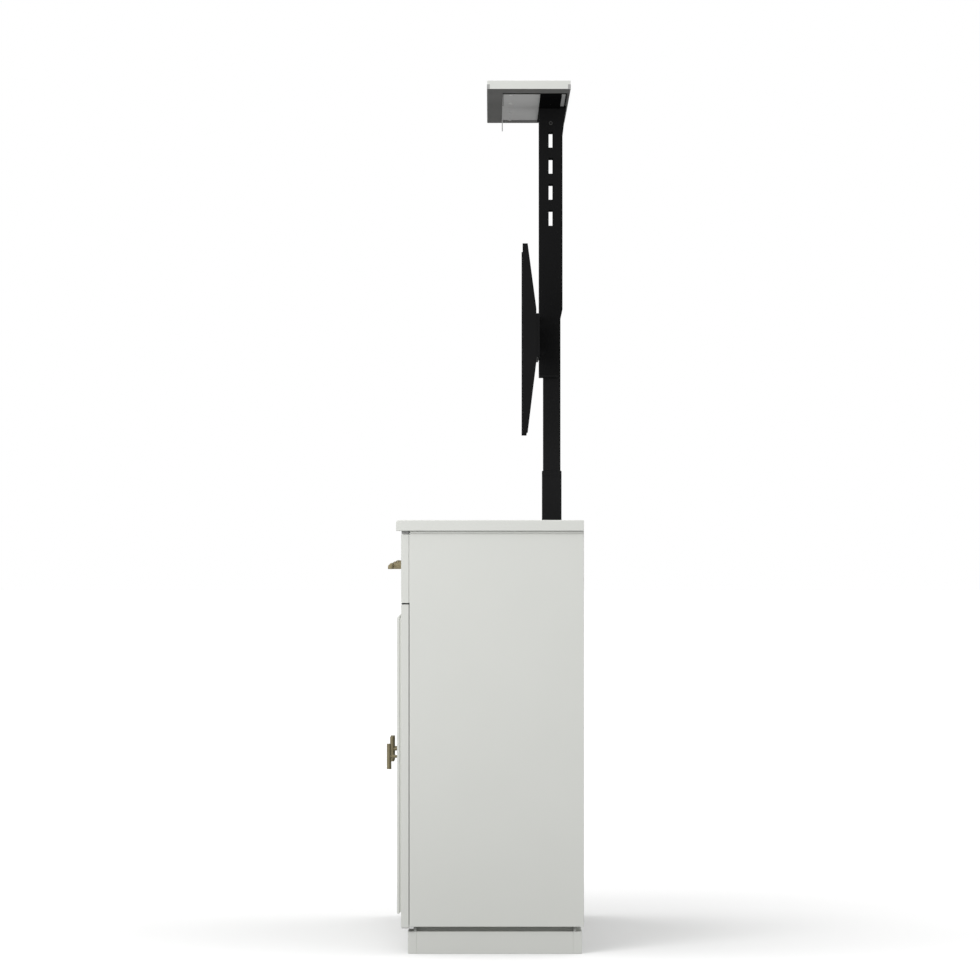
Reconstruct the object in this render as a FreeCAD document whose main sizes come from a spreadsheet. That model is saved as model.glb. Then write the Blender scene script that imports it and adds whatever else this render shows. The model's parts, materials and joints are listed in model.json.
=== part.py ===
import FreeCAD, Part
import os

import Sketcher
from FreeCAD import Vector

# TV lift cabinet: a shallow storage cabinet with a well behind it, from which a three-stage mast
# raises the screen frame and a piece of the counter that closes the well.
# Millimetres. X is across the front, Y runs from the front to the back, Z is up.
# The origin is on the floor, under the middle of the counter. The lift is modelled raised.

SIZES = {
    # counter and its lid
    "counter_width": 1200.0,
    "counter_depth": 396.0,
    "counter_height": 915.0,
    "counter_thick": 23.0,
    "counter_side_overhang": 10.0,
    "counter_nose": 6.0,
    "counter_round": 2.0,
    "counter_under_bevel": 1.0,
    "lid_length": 1030.0,
    "lid_depth": 177.0,
    "lid_thick": 18.0,
    "lid_back_margin": 27.0,
    "lid_gap": 2.0,
    # carcass
    "board": 18.0,
    "counter_front_overhang": 28.0,
    "plinth_height": 58.0,
    "plinth_inset": 10.0,
    "plinth_stand": 3.0,
    "plinth_back_inset": 4.0,
    "plinth_shadow_height": 11.0,
    "plinth_shadow_depth": 12.0,
    "side_shadow_height": 4.5,
    "side_shadow_depth": 5.0,
    "well_board": 16.0,
    "back_thick": 12.0,
    "shelf_lift": 324.0,
    "shelf_thick": 16.0,
    "shelf_gap": 1.0,
    "shelf_setback": 6.0,
    "cleat_width": 12.0,
    "cleat_height": 20.0,
    "cleat_inset": 20.0,
    "cable_port_radius": 30.0,
    "cable_port_lift": 84.0,
    "cable_port_side": 300.0,
    "vent_length": 120.0,
    "vent_width": 8.0,
    "vent_pitch": 20.0,
    "vent_drop": 132.0,
    # fronts
    "front_thick": 16.0,
    "front_gap": 3.0,
    "front_back_gap": 1.4,
    "front_round": 1.2,
    "drawer_top_gap": 7.0,
    "drawer_front_height": 145.0,
    "door_bottom": 56.0,
    "panel_rise": 9.0,
    "panel_inset": 27.0,
    "panel_bevel": 1.5,
    "quirk_height": 4.0,
    "quirk_depth": 3.0,
    # drawer boxes and their slides
    "drawer_board": 12.0,
    "drawer_floor": 6.0,
    "drawer_floor_lift": 10.0,
    "drawer_height": 95.0,
    "drawer_lift": 5.0,
    "drawer_back_gap": 6.0,
    "slide_space": 12.5,
    "slide_height": 35.0,
    "slide_wall": 1.4,
    "slide_fit": 0.5,
    # handles
    "pull_length": 150.0,
    "pull_depth": 10.0,
    "pull_tall": 12.5,
    "pull_bevel": 5.5,
    "pull_reach": 30.0,
    "pull_post_spacing": 96.0,
    "pull_lug_width": 12.0,
    "pull_lug_thick": 12.0,
    "pull_drop": 62.0,
    "knob_length": 55.0,
    "knob_radius": 5.0,
    "knob_reach": 27.5,
    "knob_post_wide": 4.2,
    "knob_post_narrow": 2.6,
    "knob_drop": 335.0,
    "knob_edge": 38.0,
    # door pivots
    "pivot_inset": 5.0,
    "pivot_radius": 2.0,
    "pivot_fit": 0.08,
    "pivot_length": 12.0,
    "leaf_thick": 1.8,
    "leaf_width": 16.0,
    "leaf_gap": 0.5,
    "leaf_seat": 22.0,
    # mast
    "mast_back_gap": 26.0,
    "stage_travel": 311.0,
    "outer_width": 69.0,
    "outer_depth": 47.0,
    "outer_wall": 1.8,
    "outer_drop": 225.0,
    "stage_gap": 0.3,
    "mid_wall": 2.0,
    "mid_length": 599.0,
    "mid_stand": 23.0,
    "inner_wall": 2.0,
    "inner_length": 571.0,
    "inner_stand": 165.0,
    "slot_width": 26.0,
    "collar_height": 12.0,
    "collar_bevel": 2.5,
    "runner_length": 180.0,
    "runner_fit": 0.3,
    "runner_neck": 20.0,
    "runner_drop": 50.0,
    "screw_radius": 7.0,
    "screw_clear": 3.0,
    "nut_fit": 0.06,
    "nut_height": 16.0,
    "nut_gap": 0.6,
    # lift base
    "base_plate_thick": 4.0,
    "base_plate_width": 260.0,
    "base_plate_depth": 90.0,
    "gearbox_height": 30.0,
    "gearbox_reach": 78.0,
    "motor_radius": 23.0,
    "motor_height": 130.0,
    "bracket_height": 60.0,
    "bracket_wing": 34.0,
    "bracket_thick": 3.0,
    "bracket_lift": 70.0,
    "bracket_drop": 70.0,
    "control_width": 130.0,
    "control_height": 70.0,
    "control_depth": 32.0,
    "control_side": 190.0,
    "control_lift": 44.0,
    # screen carriage
    "post_front_clear": 3.5,
    "post_step": 6.0,
    "post_web": 1.5,
    "post_flange": 2.5,
    "post_clear": 2.0,
    "post_length": 592.0,
    "step_drop": 448.0,
    "step_slope": 28.0,
    "gusset_reach": 8.0,
    "gusset_drop": 66.0,
    "slot_drop": 56.5,
    "slot_pitch": 57.5,
    "slot_long": 34.5,
    "slot_wide": 9.0,
    "lid_plate_length": 780.0,
    "plate_front_inset": 33.0,
    "plate_back_inset": 6.0,
    "lid_plate_thick": 2.0,
    "lid_rail_thick": 5.0,
    "plate_lip_drop": 4.0,
    "lid_tab_drop": 26.0,
    "lid_tab_width": 14.0,
    "lid_screw_margin": 18.0,
    "lid_screw_pitch": 230.0,
    "lid_screw_radius": 4.0,
    "lid_screw_head": 2.0,
    # screen frame
    "arm_deep": 30.0,
    "arm_shallow": 11.0,
    "arm_length": 412.0,
    "arm_drop": 517.0,
    "arm_flat": 115.0,
    "arm_width": 30.0,
    "arm_sheet": 2.0,
    "screen_pitch": 400.0,
    "screen_hole_radius": 3.3,
    "cross_drop": 463.0,
    "cross_height": 95.0,
    "cross_stand": 7.0,
    "cross_sheet": 3.0,
    "cross_slot_long": 36.0,
    "cross_slot_wide": 9.0,
    "cross_slot_pitch": 62.0,
    "arm_bolt_radius": 5.0,
    "arm_bolt_head": 3.5,
    "arm_bolt_rise": 30.0,
}

BAYS = ("left", "centre", "right")
BAY_INDEX = {"left": -1, "centre": 0, "right": 1}

doc = FreeCAD.newDocument("TvLiftCabinet")
sheet = doc.addObject("Spreadsheet::Sheet", "Sizes")


class Size:
    """A length that carries its value and the sheet expression it comes from."""

    def __init__(self, value, text):
        self.value = value
        self.text = text

    def __add__(self, other):
        other = as_size(other)
        return Size(self.value + other.value, f"({self.text} + {other.text})")

    def __sub__(self, other):
        other = as_size(other)
        return Size(self.value - other.value, f"({self.text} - {other.text})")

    def __mul__(self, factor):
        return Size(self.value * factor, f"({self.text} * {factor})")

    def __truediv__(self, divisor):
        return Size(self.value / divisor, f"({self.text} / {divisor})")

    def __neg__(self):
        return self * -1

    __rmul__ = __mul__


def as_size(number):
    """Gives a plain number the same form as a sheet size."""
    return number if isinstance(number, Size) else Size(float(number), f"({float(number)})")


def fill_sheet():
    """Writes the driving sizes into the sheet and returns them by name."""
    named = {}
    for row, (alias, value) in enumerate(SIZES.items(), start=1):
        cell = f"B{row}"
        sheet.set(f"A{row}", alias)
        sheet.set(cell, str(value))
        sheet.setAlias(cell, alias)
        named[alias] = Size(value, f"Sizes.{alias}")
    doc.recompute()
    return named


S = fill_sheet()
ZERO = as_size(0)
NODES = []


def bind(item, prop, size):
    item.setExpression(prop, as_size(size).text)


def publish(item, label):
    """Names a finished sub-part, which becomes one exported node."""
    item.Label = label
    NODES.append(item)
    return item


def box(name, x, y, z):
    """A block between two X, two Y and two Z sizes."""
    item = doc.addObject("Part::Box", name)
    for prop, (low, high) in (("Length", x), ("Width", y), ("Height", z)):
        bind(item, prop, as_size(high) - low)
    for axis, (low, _high) in (("x", x), ("y", y), ("z", z)):
        bind(item, f"Placement.Base.{axis}", low)
    return item


TURNS = {
    "x": FreeCAD.Rotation(Vector(0, 1, 0), 90),
    "y": FreeCAD.Rotation(Vector(1, 0, 0), -90),
    "z": FreeCAD.Rotation(),
}


def rod(name, radius, start, length, axis):
    """A cylinder from a start point along +X, +Y or +Z."""
    item = doc.addObject("Part::Cylinder", name)
    bind(item, "Radius", radius)
    bind(item, "Height", length)
    item.Placement = FreeCAD.Placement(Vector(), TURNS[axis])
    for key, place in zip("xyz", start):
        bind(item, f"Placement.Base.{key}", place)
    return item


def hex_head(name, radius, start, length, axis):
    """A six-sided head from a start point along +X, +Y or +Z."""
    item = doc.addObject("Part::Prism", name)
    item.Polygon = 6
    bind(item, "Circumradius", radius)
    bind(item, "Height", length)
    item.Placement = FreeCAD.Placement(Vector(), TURNS[axis])
    for key, place in zip("xyz", start):
        bind(item, f"Placement.Base.{key}", place)
    return item


def cut(name, base, tools):
    """Takes every tool away from the base."""
    for number, tool in enumerate(tools):
        item = doc.addObject("Part::Cut", f"{name}_cut{number}")
        item.Base = base
        item.Tool = tool
        base = item
    return base


def fuse(name, items):
    item = doc.addObject("Part::MultiFuse", f"{name}_fuse")
    item.Shapes = items
    item.Refine = True
    return item


def group(name, items):
    """Identical loose pieces kept together as one node of separate solids."""
    item = doc.addObject("Part::Compound", f"{name}_group")
    item.Links = items
    return item


def origin_plane(body, role):
    for feature in body.Origin.OriginFeatures:
        if feature.Role == role:
            return feature
    raise ValueError(role)


def sketch_on(body, name, role, level):
    """A sketch on one of the body's own planes, lifted along its normal by a size."""
    sketch = body.newObject("Sketcher::SketchObject", name)
    sketch.AttachmentSupport = [(origin_plane(body, role), "")]
    sketch.MapMode = "FlatFace"
    bind(sketch, "AttachmentOffset.Base.z", level)
    return sketch


def outline(sketch, corners):
    """Draws a closed outline whose corners are tied to the sheet."""
    count = len(corners)
    first = sketch.GeometryCount
    points = [Vector(u.value, v.value, 0) for u, v in corners]
    for index in range(count):
        sketch.addGeometry(Part.LineSegment(points[index], points[(index + 1) % count]), False)
    for index, (u, v) in enumerate(corners):
        edge = first + index
        after = first + (index + 1) % count
        sketch.addConstraint(Sketcher.Constraint("Coincident", edge, 2, after, 1))
        for kind, size in (("DistanceX", u), ("DistanceY", v)):
            made = sketch.addConstraint(Sketcher.Constraint(kind, -1, 1, edge, 1, size.value))
            sketch.setExpression(f"Constraints[{made}]", size.text)


def disc(sketch, centre, radius):
    """Draws a circle whose centre and radius are tied to the sheet."""
    middle = Vector(centre[0].value, centre[1].value, 0)
    made = sketch.addGeometry(Part.Circle(middle, Vector(0, 0, 1), radius.value), False)
    ties = (("DistanceX", centre[0]), ("DistanceY", centre[1]))
    for kind, size in ties:
        tie = sketch.addConstraint(Sketcher.Constraint(kind, -1, 1, made, 3, size.value))
        sketch.setExpression(f"Constraints[{tie}]", size.text)
    tie = sketch.addConstraint(Sketcher.Constraint("Radius", made, radius.value))
    sketch.setExpression(f"Constraints[{tie}]", radius.text)


def pad(body, sketch, length, name="Pad"):
    feature = body.newObject("PartDesign::Pad", f"{body.Name}_{name}")
    feature.Profile = sketch
    bind(feature, "Length", length)
    body.Tip = feature
    return feature


def pocket(body, sketch, length, backwards, name="Pocket"):
    """Cuts a sketch into the body and makes sure that material went away."""
    doc.recompute()
    before = body.Tip.Shape.Volume
    feature = body.newObject("PartDesign::Pocket", f"{body.Name}_{name}")
    feature.Profile = sketch
    bind(feature, "Length", length)
    feature.Reversed = backwards
    body.Tip = feature
    doc.recompute()
    if feature.Shape.Volume >= before:
        raise ValueError(f"{feature.Name} cuts nothing")
    return feature


def profile_body(name, role, level, corners, length):
    """A body padded from one outline drawn on a plane of its own."""
    body = doc.addObject("PartDesign::Body", name)
    sketch = sketch_on(body, f"{name}_profile", role, level)
    outline(sketch, corners)
    pad(body, sketch, length)
    return body


def edges_where(shape, test):
    """Names of the straight edges whose two ends pass a test."""
    names = []
    for index, edge in enumerate(shape.Edges, start=1):
        ends = [vertex.Point for vertex in edge.Vertexes]
        if len(ends) == 2 and test(ends[0], ends[1]):
            names.append(f"Edge{index}")
    return names


def ease(body, kind, size, test):
    """Rounds or bevels the edges of the body's tip that pass a test."""
    doc.recompute()
    tip = body.Tip
    feature = body.newObject(f"PartDesign::{kind}", f"{body.Name}_{kind}")
    feature.Base = (tip, edges_where(tip.Shape, test))
    bind(feature, "Radius" if kind == "Fillet" else "Size", size)
    body.Tip = feature
    return feature


def near(a, b):
    return abs(a - b) < 1e-4


# ---------------------------------------------------------------- places worked out from the sizes

COUNTER_X = S["counter_width"] / 2
COUNTER_Y = S["counter_depth"] / 2
COUNTER_UNDER = S["counter_height"] - S["counter_thick"]
CARCASS_FRONT = S["counter_front_overhang"] - COUNTER_Y
SIDE_OUT = COUNTER_X - S["counter_side_overhang"]
SIDE_IN = SIDE_OUT - S["board"]
BACK_FACE = COUNTER_Y - S["back_thick"]
FLOOR_TOP = S["plinth_height"] + S["board"]
SUBTOP_LOW = COUNTER_UNDER - S["board"]
LID_BACK = COUNTER_Y - S["lid_back_margin"]
LID_FRONT = LID_BACK - S["lid_depth"]
WELL_FRONT = LID_FRONT - S["lid_gap"]
STORE_BACK = WELL_FRONT - S["well_board"]
OPENING_X = S["lid_length"] / 2 + S["lid_gap"]
OPENING_BACK = LID_BACK + S["lid_gap"]
PLINTH_FRONT = CARCASS_FRONT - S["plinth_stand"]
PLINTH_NECK = PLINTH_FRONT + S["plinth_shadow_depth"]
BAY_WIDTH = (SIDE_IN * 2 - S["board"] * 2) / 3
DIVIDER_X = BAY_WIDTH / 2 + S["board"] / 2
SHELF_LEVEL = FLOOR_TOP + S["shelf_lift"]
PORT_LEVEL = FLOOR_TOP + S["cable_port_lift"]
VENT_LEVEL = COUNTER_UNDER - S["vent_drop"]

FRONT_WIDTH = (SIDE_OUT * 2 - S["front_gap"] * 2) / 3
FRONT_STEP = FRONT_WIDTH + S["front_gap"]
FRONT_BACK = CARCASS_FRONT - S["front_back_gap"]
FRONT_FACE = FRONT_BACK - S["front_thick"]
DRAWER_TOP = COUNTER_UNDER - S["drawer_top_gap"]
DRAWER_BOTTOM = DRAWER_TOP - S["drawer_front_height"]
DOOR_TOP = DRAWER_BOTTOM - S["front_gap"]
DECK_LOW = DRAWER_BOTTOM - S["front_gap"] / 2 - S["board"] / 2
DECK_HIGH = DECK_LOW + S["board"]
BOX_LOW = DECK_HIGH + S["drawer_lift"]
BOX_HIGH = BOX_LOW + S["drawer_height"]
SLIDE_MIDDLE = BOX_LOW + S["drawer_height"] / 2
KNOB_LEVEL = DOOR_TOP - S["knob_drop"]
PULL_TOP = DRAWER_TOP - S["pull_drop"]
PULL_LOW = PULL_TOP - S["pull_tall"]

RISE = S["stage_travel"] * 3
LID_TOP = S["counter_height"] + RISE
LID_UNDER = LID_TOP - S["lid_thick"]
PLATE_UNDER = LID_UNDER - S["lid_plate_thick"]
PLATE_FRONT = LID_FRONT + S["plate_front_inset"]
PLATE_BACK = LID_BACK - S["plate_back_inset"]
PLATE_END = S["lid_plate_length"] / 2
BASE_TOP = FLOOR_TOP + S["base_plate_thick"]
GEARBOX_TOP = BASE_TOP + S["gearbox_height"]
CONTROL_LEVEL = FLOOR_TOP + S["control_lift"]

MAST_MIDDLE = BACK_FACE - S["mast_back_gap"] - S["outer_depth"] / 2
MAST_FRONT = MAST_MIDDLE - S["outer_depth"] / 2
MAST_BACK = MAST_MIDDLE + S["outer_depth"] / 2
OUTER_TOP = S["counter_height"] - S["outer_drop"]
MID_TOP = OUTER_TOP + S["stage_travel"] + S["mid_stand"]
INNER_TOP = MID_TOP + S["stage_travel"] + S["inner_stand"]
RUNNER_TOP = INNER_TOP - S["runner_drop"]
BRACKET_LOW = GEARBOX_TOP + S["bracket_lift"]
BRACKET_HIGH = OUTER_TOP - S["bracket_drop"]
MID_WIDTH = S["outer_width"] - (S["outer_wall"] + S["stage_gap"]) * 2
MID_DEPTH = S["outer_depth"] - (S["outer_wall"] + S["stage_gap"]) * 2
INNER_WIDTH = MID_WIDTH - (S["mid_wall"] + S["stage_gap"]) * 2
INNER_DEPTH = MID_DEPTH - (S["mid_wall"] + S["stage_gap"]) * 2

POST_X = S["outer_width"] / 2 + S["post_clear"]
POST_FRONT = MAST_FRONT - S["post_front_clear"] - S["post_web"]
POST_BACK = MAST_BACK
POST_STEP_BACK = POST_BACK - S["post_step"]
POST_BOTTOM = PLATE_UNDER - S["post_length"]
STEP_HIGH = PLATE_UNDER - S["step_drop"]
STEP_LOW = STEP_HIGH - S["step_slope"]
SLOT_TOP = PLATE_UNDER - S["slot_drop"]
SLOT_MIDDLE = (POST_FRONT + POST_BACK) / 2
CROSS_FACE = POST_FRONT - S["cross_stand"]
CROSS_HIGH = PLATE_UNDER - S["cross_drop"]
CROSS_LOW = CROSS_HIGH - S["cross_height"]
CROSS_MIDDLE = CROSS_HIGH - S["cross_height"] / 2
ARM_FRONT = CROSS_FACE - S["arm_deep"]
ARM_MIDDLE = PLATE_UNDER - S["arm_drop"]


def bay_middle(bay):
    return (BAY_WIDTH + S["board"]) * BAY_INDEX[bay]


def front_middle(bay):
    return FRONT_STEP * BAY_INDEX[bay]


# ---------------------------------------------------------------- plinth and carcass

def plinth_rail(name, y_out, inward):
    """A front or rear plinth rail with a recessed neck that throws a shadow line."""
    y_in = y_out + S["board"] * inward
    neck = y_out + S["plinth_shadow_depth"] * inward
    shoulder = S["plinth_height"] - S["plinth_shadow_height"]
    half = SIDE_OUT - S["plinth_inset"]
    corners = [(y_out, ZERO), (y_in, ZERO), (y_in, S["plinth_height"]),
               (neck, S["plinth_height"]), (neck, shoulder), (y_out, shoulder)]
    body = profile_body(name, "YZ_Plane", -half, corners, half * 2)
    return publish(body, name)


def plinth_end(name, side):
    """An end board of the plinth, between the front and rear rails, with the same neck."""
    x_out = (SIDE_OUT - S["plinth_inset"]) * side
    x_in = x_out - S["board"] * side
    neck = x_out - S["plinth_shadow_depth"] * side
    shoulder = S["plinth_height"] - S["plinth_shadow_height"]
    front = PLINTH_FRONT + S["board"]
    back = COUNTER_Y - S["plinth_back_inset"] - S["board"]
    corners = [(x_out, ZERO), (x_in, ZERO), (x_in, S["plinth_height"]),
               (neck, S["plinth_height"]), (neck, shoulder), (x_out, shoulder)]
    body = profile_body(name, "XZ_Plane", -back, corners, back - front)
    return publish(body, name)


def make_plinth():
    plinth_rail("plinth_front", PLINTH_FRONT, 1)
    plinth_rail("plinth_rear", COUNTER_Y - S["plinth_back_inset"], -1)
    plinth_end("plinth_end_left", -1)
    plinth_end("plinth_end_right", 1)
    half = S["board"] / 2
    front = PLINTH_FRONT + S["board"]
    back = COUNTER_Y - S["plinth_back_inset"] - S["board"]
    brace = box("plinth_brace", (-half, half), (front, back), (ZERO, S["plinth_height"]))
    publish(brace, "plinth_brace")


def side_panel(name, side):
    """An end panel with a shadow rebate under the counter and a pivot mortise."""
    x_out = SIDE_OUT * side
    x_in = SIDE_IN * side
    rebate = x_out - S["side_shadow_depth"] * side
    shoulder = COUNTER_UNDER - S["side_shadow_height"]
    low = S["plinth_height"]
    corners = [(x_out, low), (x_in, low), (x_in, COUNTER_UNDER),
               (rebate, COUNTER_UNDER), (rebate, shoulder), (x_out, shoulder)]
    length = COUNTER_Y - CARCASS_FRONT
    body = profile_body(f"{name}_board", "XZ_Plane", -COUNTER_Y, corners, length)
    face = SIDE_OUT.value

    def outer_upright(a, b):
        return near(abs(a.x), face) and near(abs(b.x), face) and near(a.y, b.y)

    ease(body, "Fillet", S["front_round"], outer_upright)
    bay = "right" if side > 0 else "left"
    return publish(cut(name, body, [mortise(f"{name}_mortise", bay)]), name)


def mortise(name, bay):
    """A cutter that lets the upper pivot leaf of a bay into the front edge of its board."""
    low, high = leaf_span(bay)
    level = DOOR_TOP + S["leaf_gap"]
    return box(name, (low, high), (CARCASS_FRONT, CARCASS_FRONT + S["leaf_seat"]),
               (level, level + S["leaf_thick"]))


def make_dividers():
    """Upright partitions, halved over the deck between the drawers and the doors."""
    middle = (CARCASS_FRONT + STORE_BACK) / 2
    half = S["board"] / 2
    for name, side in (("divider_left", -1), ("divider_right", 1)):
        centre = DIVIDER_X * side
        board = box(f"{name}_board", (centre - half, centre + half),
                    (CARCASS_FRONT, STORE_BACK), (FLOOR_TOP, SUBTOP_LOW))
        notch = box(f"{name}_notch", (centre - half, centre + half),
                    (CARCASS_FRONT, middle), (DECK_LOW, DECK_HIGH))
        publish(cut(name, board, [notch]), name)


def make_deck():
    """The deck between drawers and doors, slotted over the dividers, with a pivot mortise."""
    middle = (CARCASS_FRONT + STORE_BACK) / 2
    half = S["board"] / 2
    board = box("mid_deck_board", (-SIDE_IN, SIDE_IN), (CARCASS_FRONT, STORE_BACK),
                (DECK_LOW, DECK_HIGH))
    tools = []
    for side in (-1, 1):
        centre = DIVIDER_X * side
        tools.append(box(f"mid_deck_slot{side + 1}", (centre - half, centre + half),
                         (middle, STORE_BACK), (DECK_LOW, DECK_HIGH)))
    tools.append(mortise("mid_deck_mortise", "centre"))
    publish(cut("mid_deck", board, tools), "mid_deck")


def make_carcass():
    floor = box("bottom_panel", (-SIDE_IN, SIDE_IN), (CARCASS_FRONT, BACK_FACE),
                (S["plinth_height"], FLOOR_TOP))
    publish(floor, "bottom_panel")
    side_panel("side_panel_left", -1)
    side_panel("side_panel_right", 1)
    make_dividers()
    make_deck()
    well = box("well_panel", (-SIDE_IN, SIDE_IN), (STORE_BACK, WELL_FRONT),
               (FLOOR_TOP, COUNTER_UNDER))
    publish(well, "well_panel")
    subtop = box("sub_top", (-SIDE_IN, SIDE_IN), (CARCASS_FRONT, STORE_BACK),
                 (SUBTOP_LOW, COUNTER_UNDER))
    publish(subtop, "sub_top")
    rail_low = COUNTER_UNDER - S["board"] * 3
    rail = box("rear_rail", (-SIDE_IN, SIDE_IN), (OPENING_BACK, BACK_FACE),
               (rail_low, COUNTER_UNDER))
    publish(rail, "rear_rail")


def vent_slot(name, middle, level):
    """A round-ended cutter through the back panel."""
    half = S["vent_length"] / 2
    radius = S["vent_width"] / 2
    through = S["back_thick"]
    bar = box(f"{name}_bar", (middle - half, middle + half), (BACK_FACE, COUNTER_Y),
              (level - radius, level + radius))
    ends = [rod(f"{name}_end{index}", radius, (middle + half * side, BACK_FACE, level),
                through, "y") for index, side in enumerate((-1, 1))]
    return fuse(name, [bar] + ends)


def make_back():
    """The back panel with two cable ports low down and two rows of vent slots."""
    board = box("back_board", (-SIDE_IN, SIDE_IN), (BACK_FACE, COUNTER_Y),
                (S["plinth_height"], COUNTER_UNDER))
    tools = []
    for side in (-1, 1):
        middle = S["cable_port_side"] * side
        tools.append(rod(f"cable_port{side + 1}", S["cable_port_radius"],
                         (middle, BACK_FACE, PORT_LEVEL), S["back_thick"], "y"))
        for row in range(3):
            level = VENT_LEVEL - S["vent_pitch"] * row
            tools.append(vent_slot(f"vent{side + 1}_{row}", middle, level))
    publish(cut("back_panel", board, tools), "back_panel")


def make_counter():
    """The counter, open over the well, with softened outer edges."""
    body = doc.addObject("PartDesign::Body", "countertop")
    sketch = sketch_on(body, "countertop_profile", "XY_Plane", COUNTER_UNDER)
    outline(sketch, rectangle(-COUNTER_X, COUNTER_X, -COUNTER_Y, COUNTER_Y))
    outline(sketch, rectangle(-OPENING_X, OPENING_X, WELL_FRONT, OPENING_BACK))
    pad(body, sketch, S["counter_thick"])
    reach = COUNTER_X.value
    depth = COUNTER_Y.value
    top = S["counter_height"].value
    under = COUNTER_UNDER.value

    def outer_rim(a, b, level):
        if not (near(a.z, level) and near(b.z, level)):
            return False
        on_x = near(abs(a.x), reach) and near(a.x, b.x)
        return on_x or (near(abs(a.y), depth) and near(a.y, b.y))

    def front_rim(a, b):
        return outer_rim(a, b, top) and near(a.y, -depth) and near(b.y, -depth)

    ease(body, "Fillet", S["counter_nose"], front_rim)
    ease(body, "Fillet", S["counter_round"], lambda a, b: outer_rim(a, b, top))
    ease(body, "Chamfer", S["counter_under_bevel"], lambda a, b: outer_rim(a, b, under))
    publish(body, "countertop")


def rectangle(u_low, u_high, v_low, v_high):
    return [(as_size(u_low), as_size(v_low)), (as_size(u_high), as_size(v_low)),
            (as_size(u_high), as_size(v_high)), (as_size(u_low), as_size(v_high))]


def make_shelves():
    """A loose shelf in each lower bay, lying on two cleats."""
    half = BAY_WIDTH / 2
    cleats = []
    for bay in BAYS:
        middle = bay_middle(bay)
        shelf = box(f"shelf_{bay}", (middle - half + S["shelf_gap"], middle + half - S["shelf_gap"]),
                    (CARCASS_FRONT + S["shelf_setback"], STORE_BACK - S["shelf_gap"]),
                    (SHELF_LEVEL, SHELF_LEVEL + S["shelf_thick"]))
        publish(shelf, f"shelf_{bay}")
        for end, start in enumerate((middle - half, middle + half - S["cleat_width"])):
            cleats.append(box(f"cleat_{bay}{end}", (start, start + S["cleat_width"]),
                              (CARCASS_FRONT + S["cleat_inset"], STORE_BACK),
                              (SHELF_LEVEL - S["cleat_height"], SHELF_LEVEL)))
    publish(group("shelf_cleats", cleats), "shelf_cleats")


# ---------------------------------------------------------------- doors and their pivots

def hinge_side(bay):
    """The edge that a door turns on: the outer doors on the outside, the middle one on the right."""
    return -1 if bay == "left" else 1


def pivot_place(bay):
    edge = front_middle(bay) + FRONT_WIDTH / 2 * hinge_side(bay)
    return (edge - S["pivot_inset"] * hinge_side(bay), FRONT_FACE + S["pivot_inset"])


def leaf_span(bay):
    """The two X limits of a pivot leaf, which stays inside its door's edge."""
    x_pivot, _y_pivot = pivot_place(bay)
    reach = S["leaf_width"] - S["pivot_inset"] + S["leaf_gap"]
    edge = x_pivot + (S["pivot_inset"] - S["leaf_gap"]) * hinge_side(bay)
    back = x_pivot - reach * hinge_side(bay)
    return (edge, back) if edge.value < back.value else (back, edge)


def carcass_leaf(name, bay, upper):
    """A flat leaf that carries the pivot pin and is screwed to the carcass."""
    x_pivot, y_pivot = pivot_place(bay)
    low, high = leaf_span(bay)
    seat = CARCASS_FRONT + S["leaf_seat"] if upper else PLINTH_NECK
    front = FRONT_FACE + S["leaf_gap"]
    level = DOOR_TOP + S["leaf_gap"] if upper else S["door_bottom"] - S["leaf_gap"] - S["leaf_thick"]
    plate = box(f"{name}_plate", (low, high), (front, seat), (level, level + S["leaf_thick"]))
    pin_start = level - S["pivot_length"] if upper else level + S["leaf_thick"]
    parts = [plate, rod(f"{name}_pin", S["pivot_radius"], (x_pivot, y_pivot, pin_start),
                        S["pivot_length"], "z")]
    if not upper:
        under = level + S["leaf_thick"]
        parts.append(box(f"{name}_pad", (low, high), (CARCASS_FRONT, seat),
                         (under, S["plinth_height"])))
    return fuse(name, parts)


def make_leaves():
    leaves = []
    for bay in BAYS:
        leaves.append(carcass_leaf(f"leaf_low_{bay}", bay, False))
        leaves.append(carcass_leaf(f"leaf_high_{bay}", bay, True))
    publish(group("pivot_leaves", leaves), "pivot_leaves")


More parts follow.
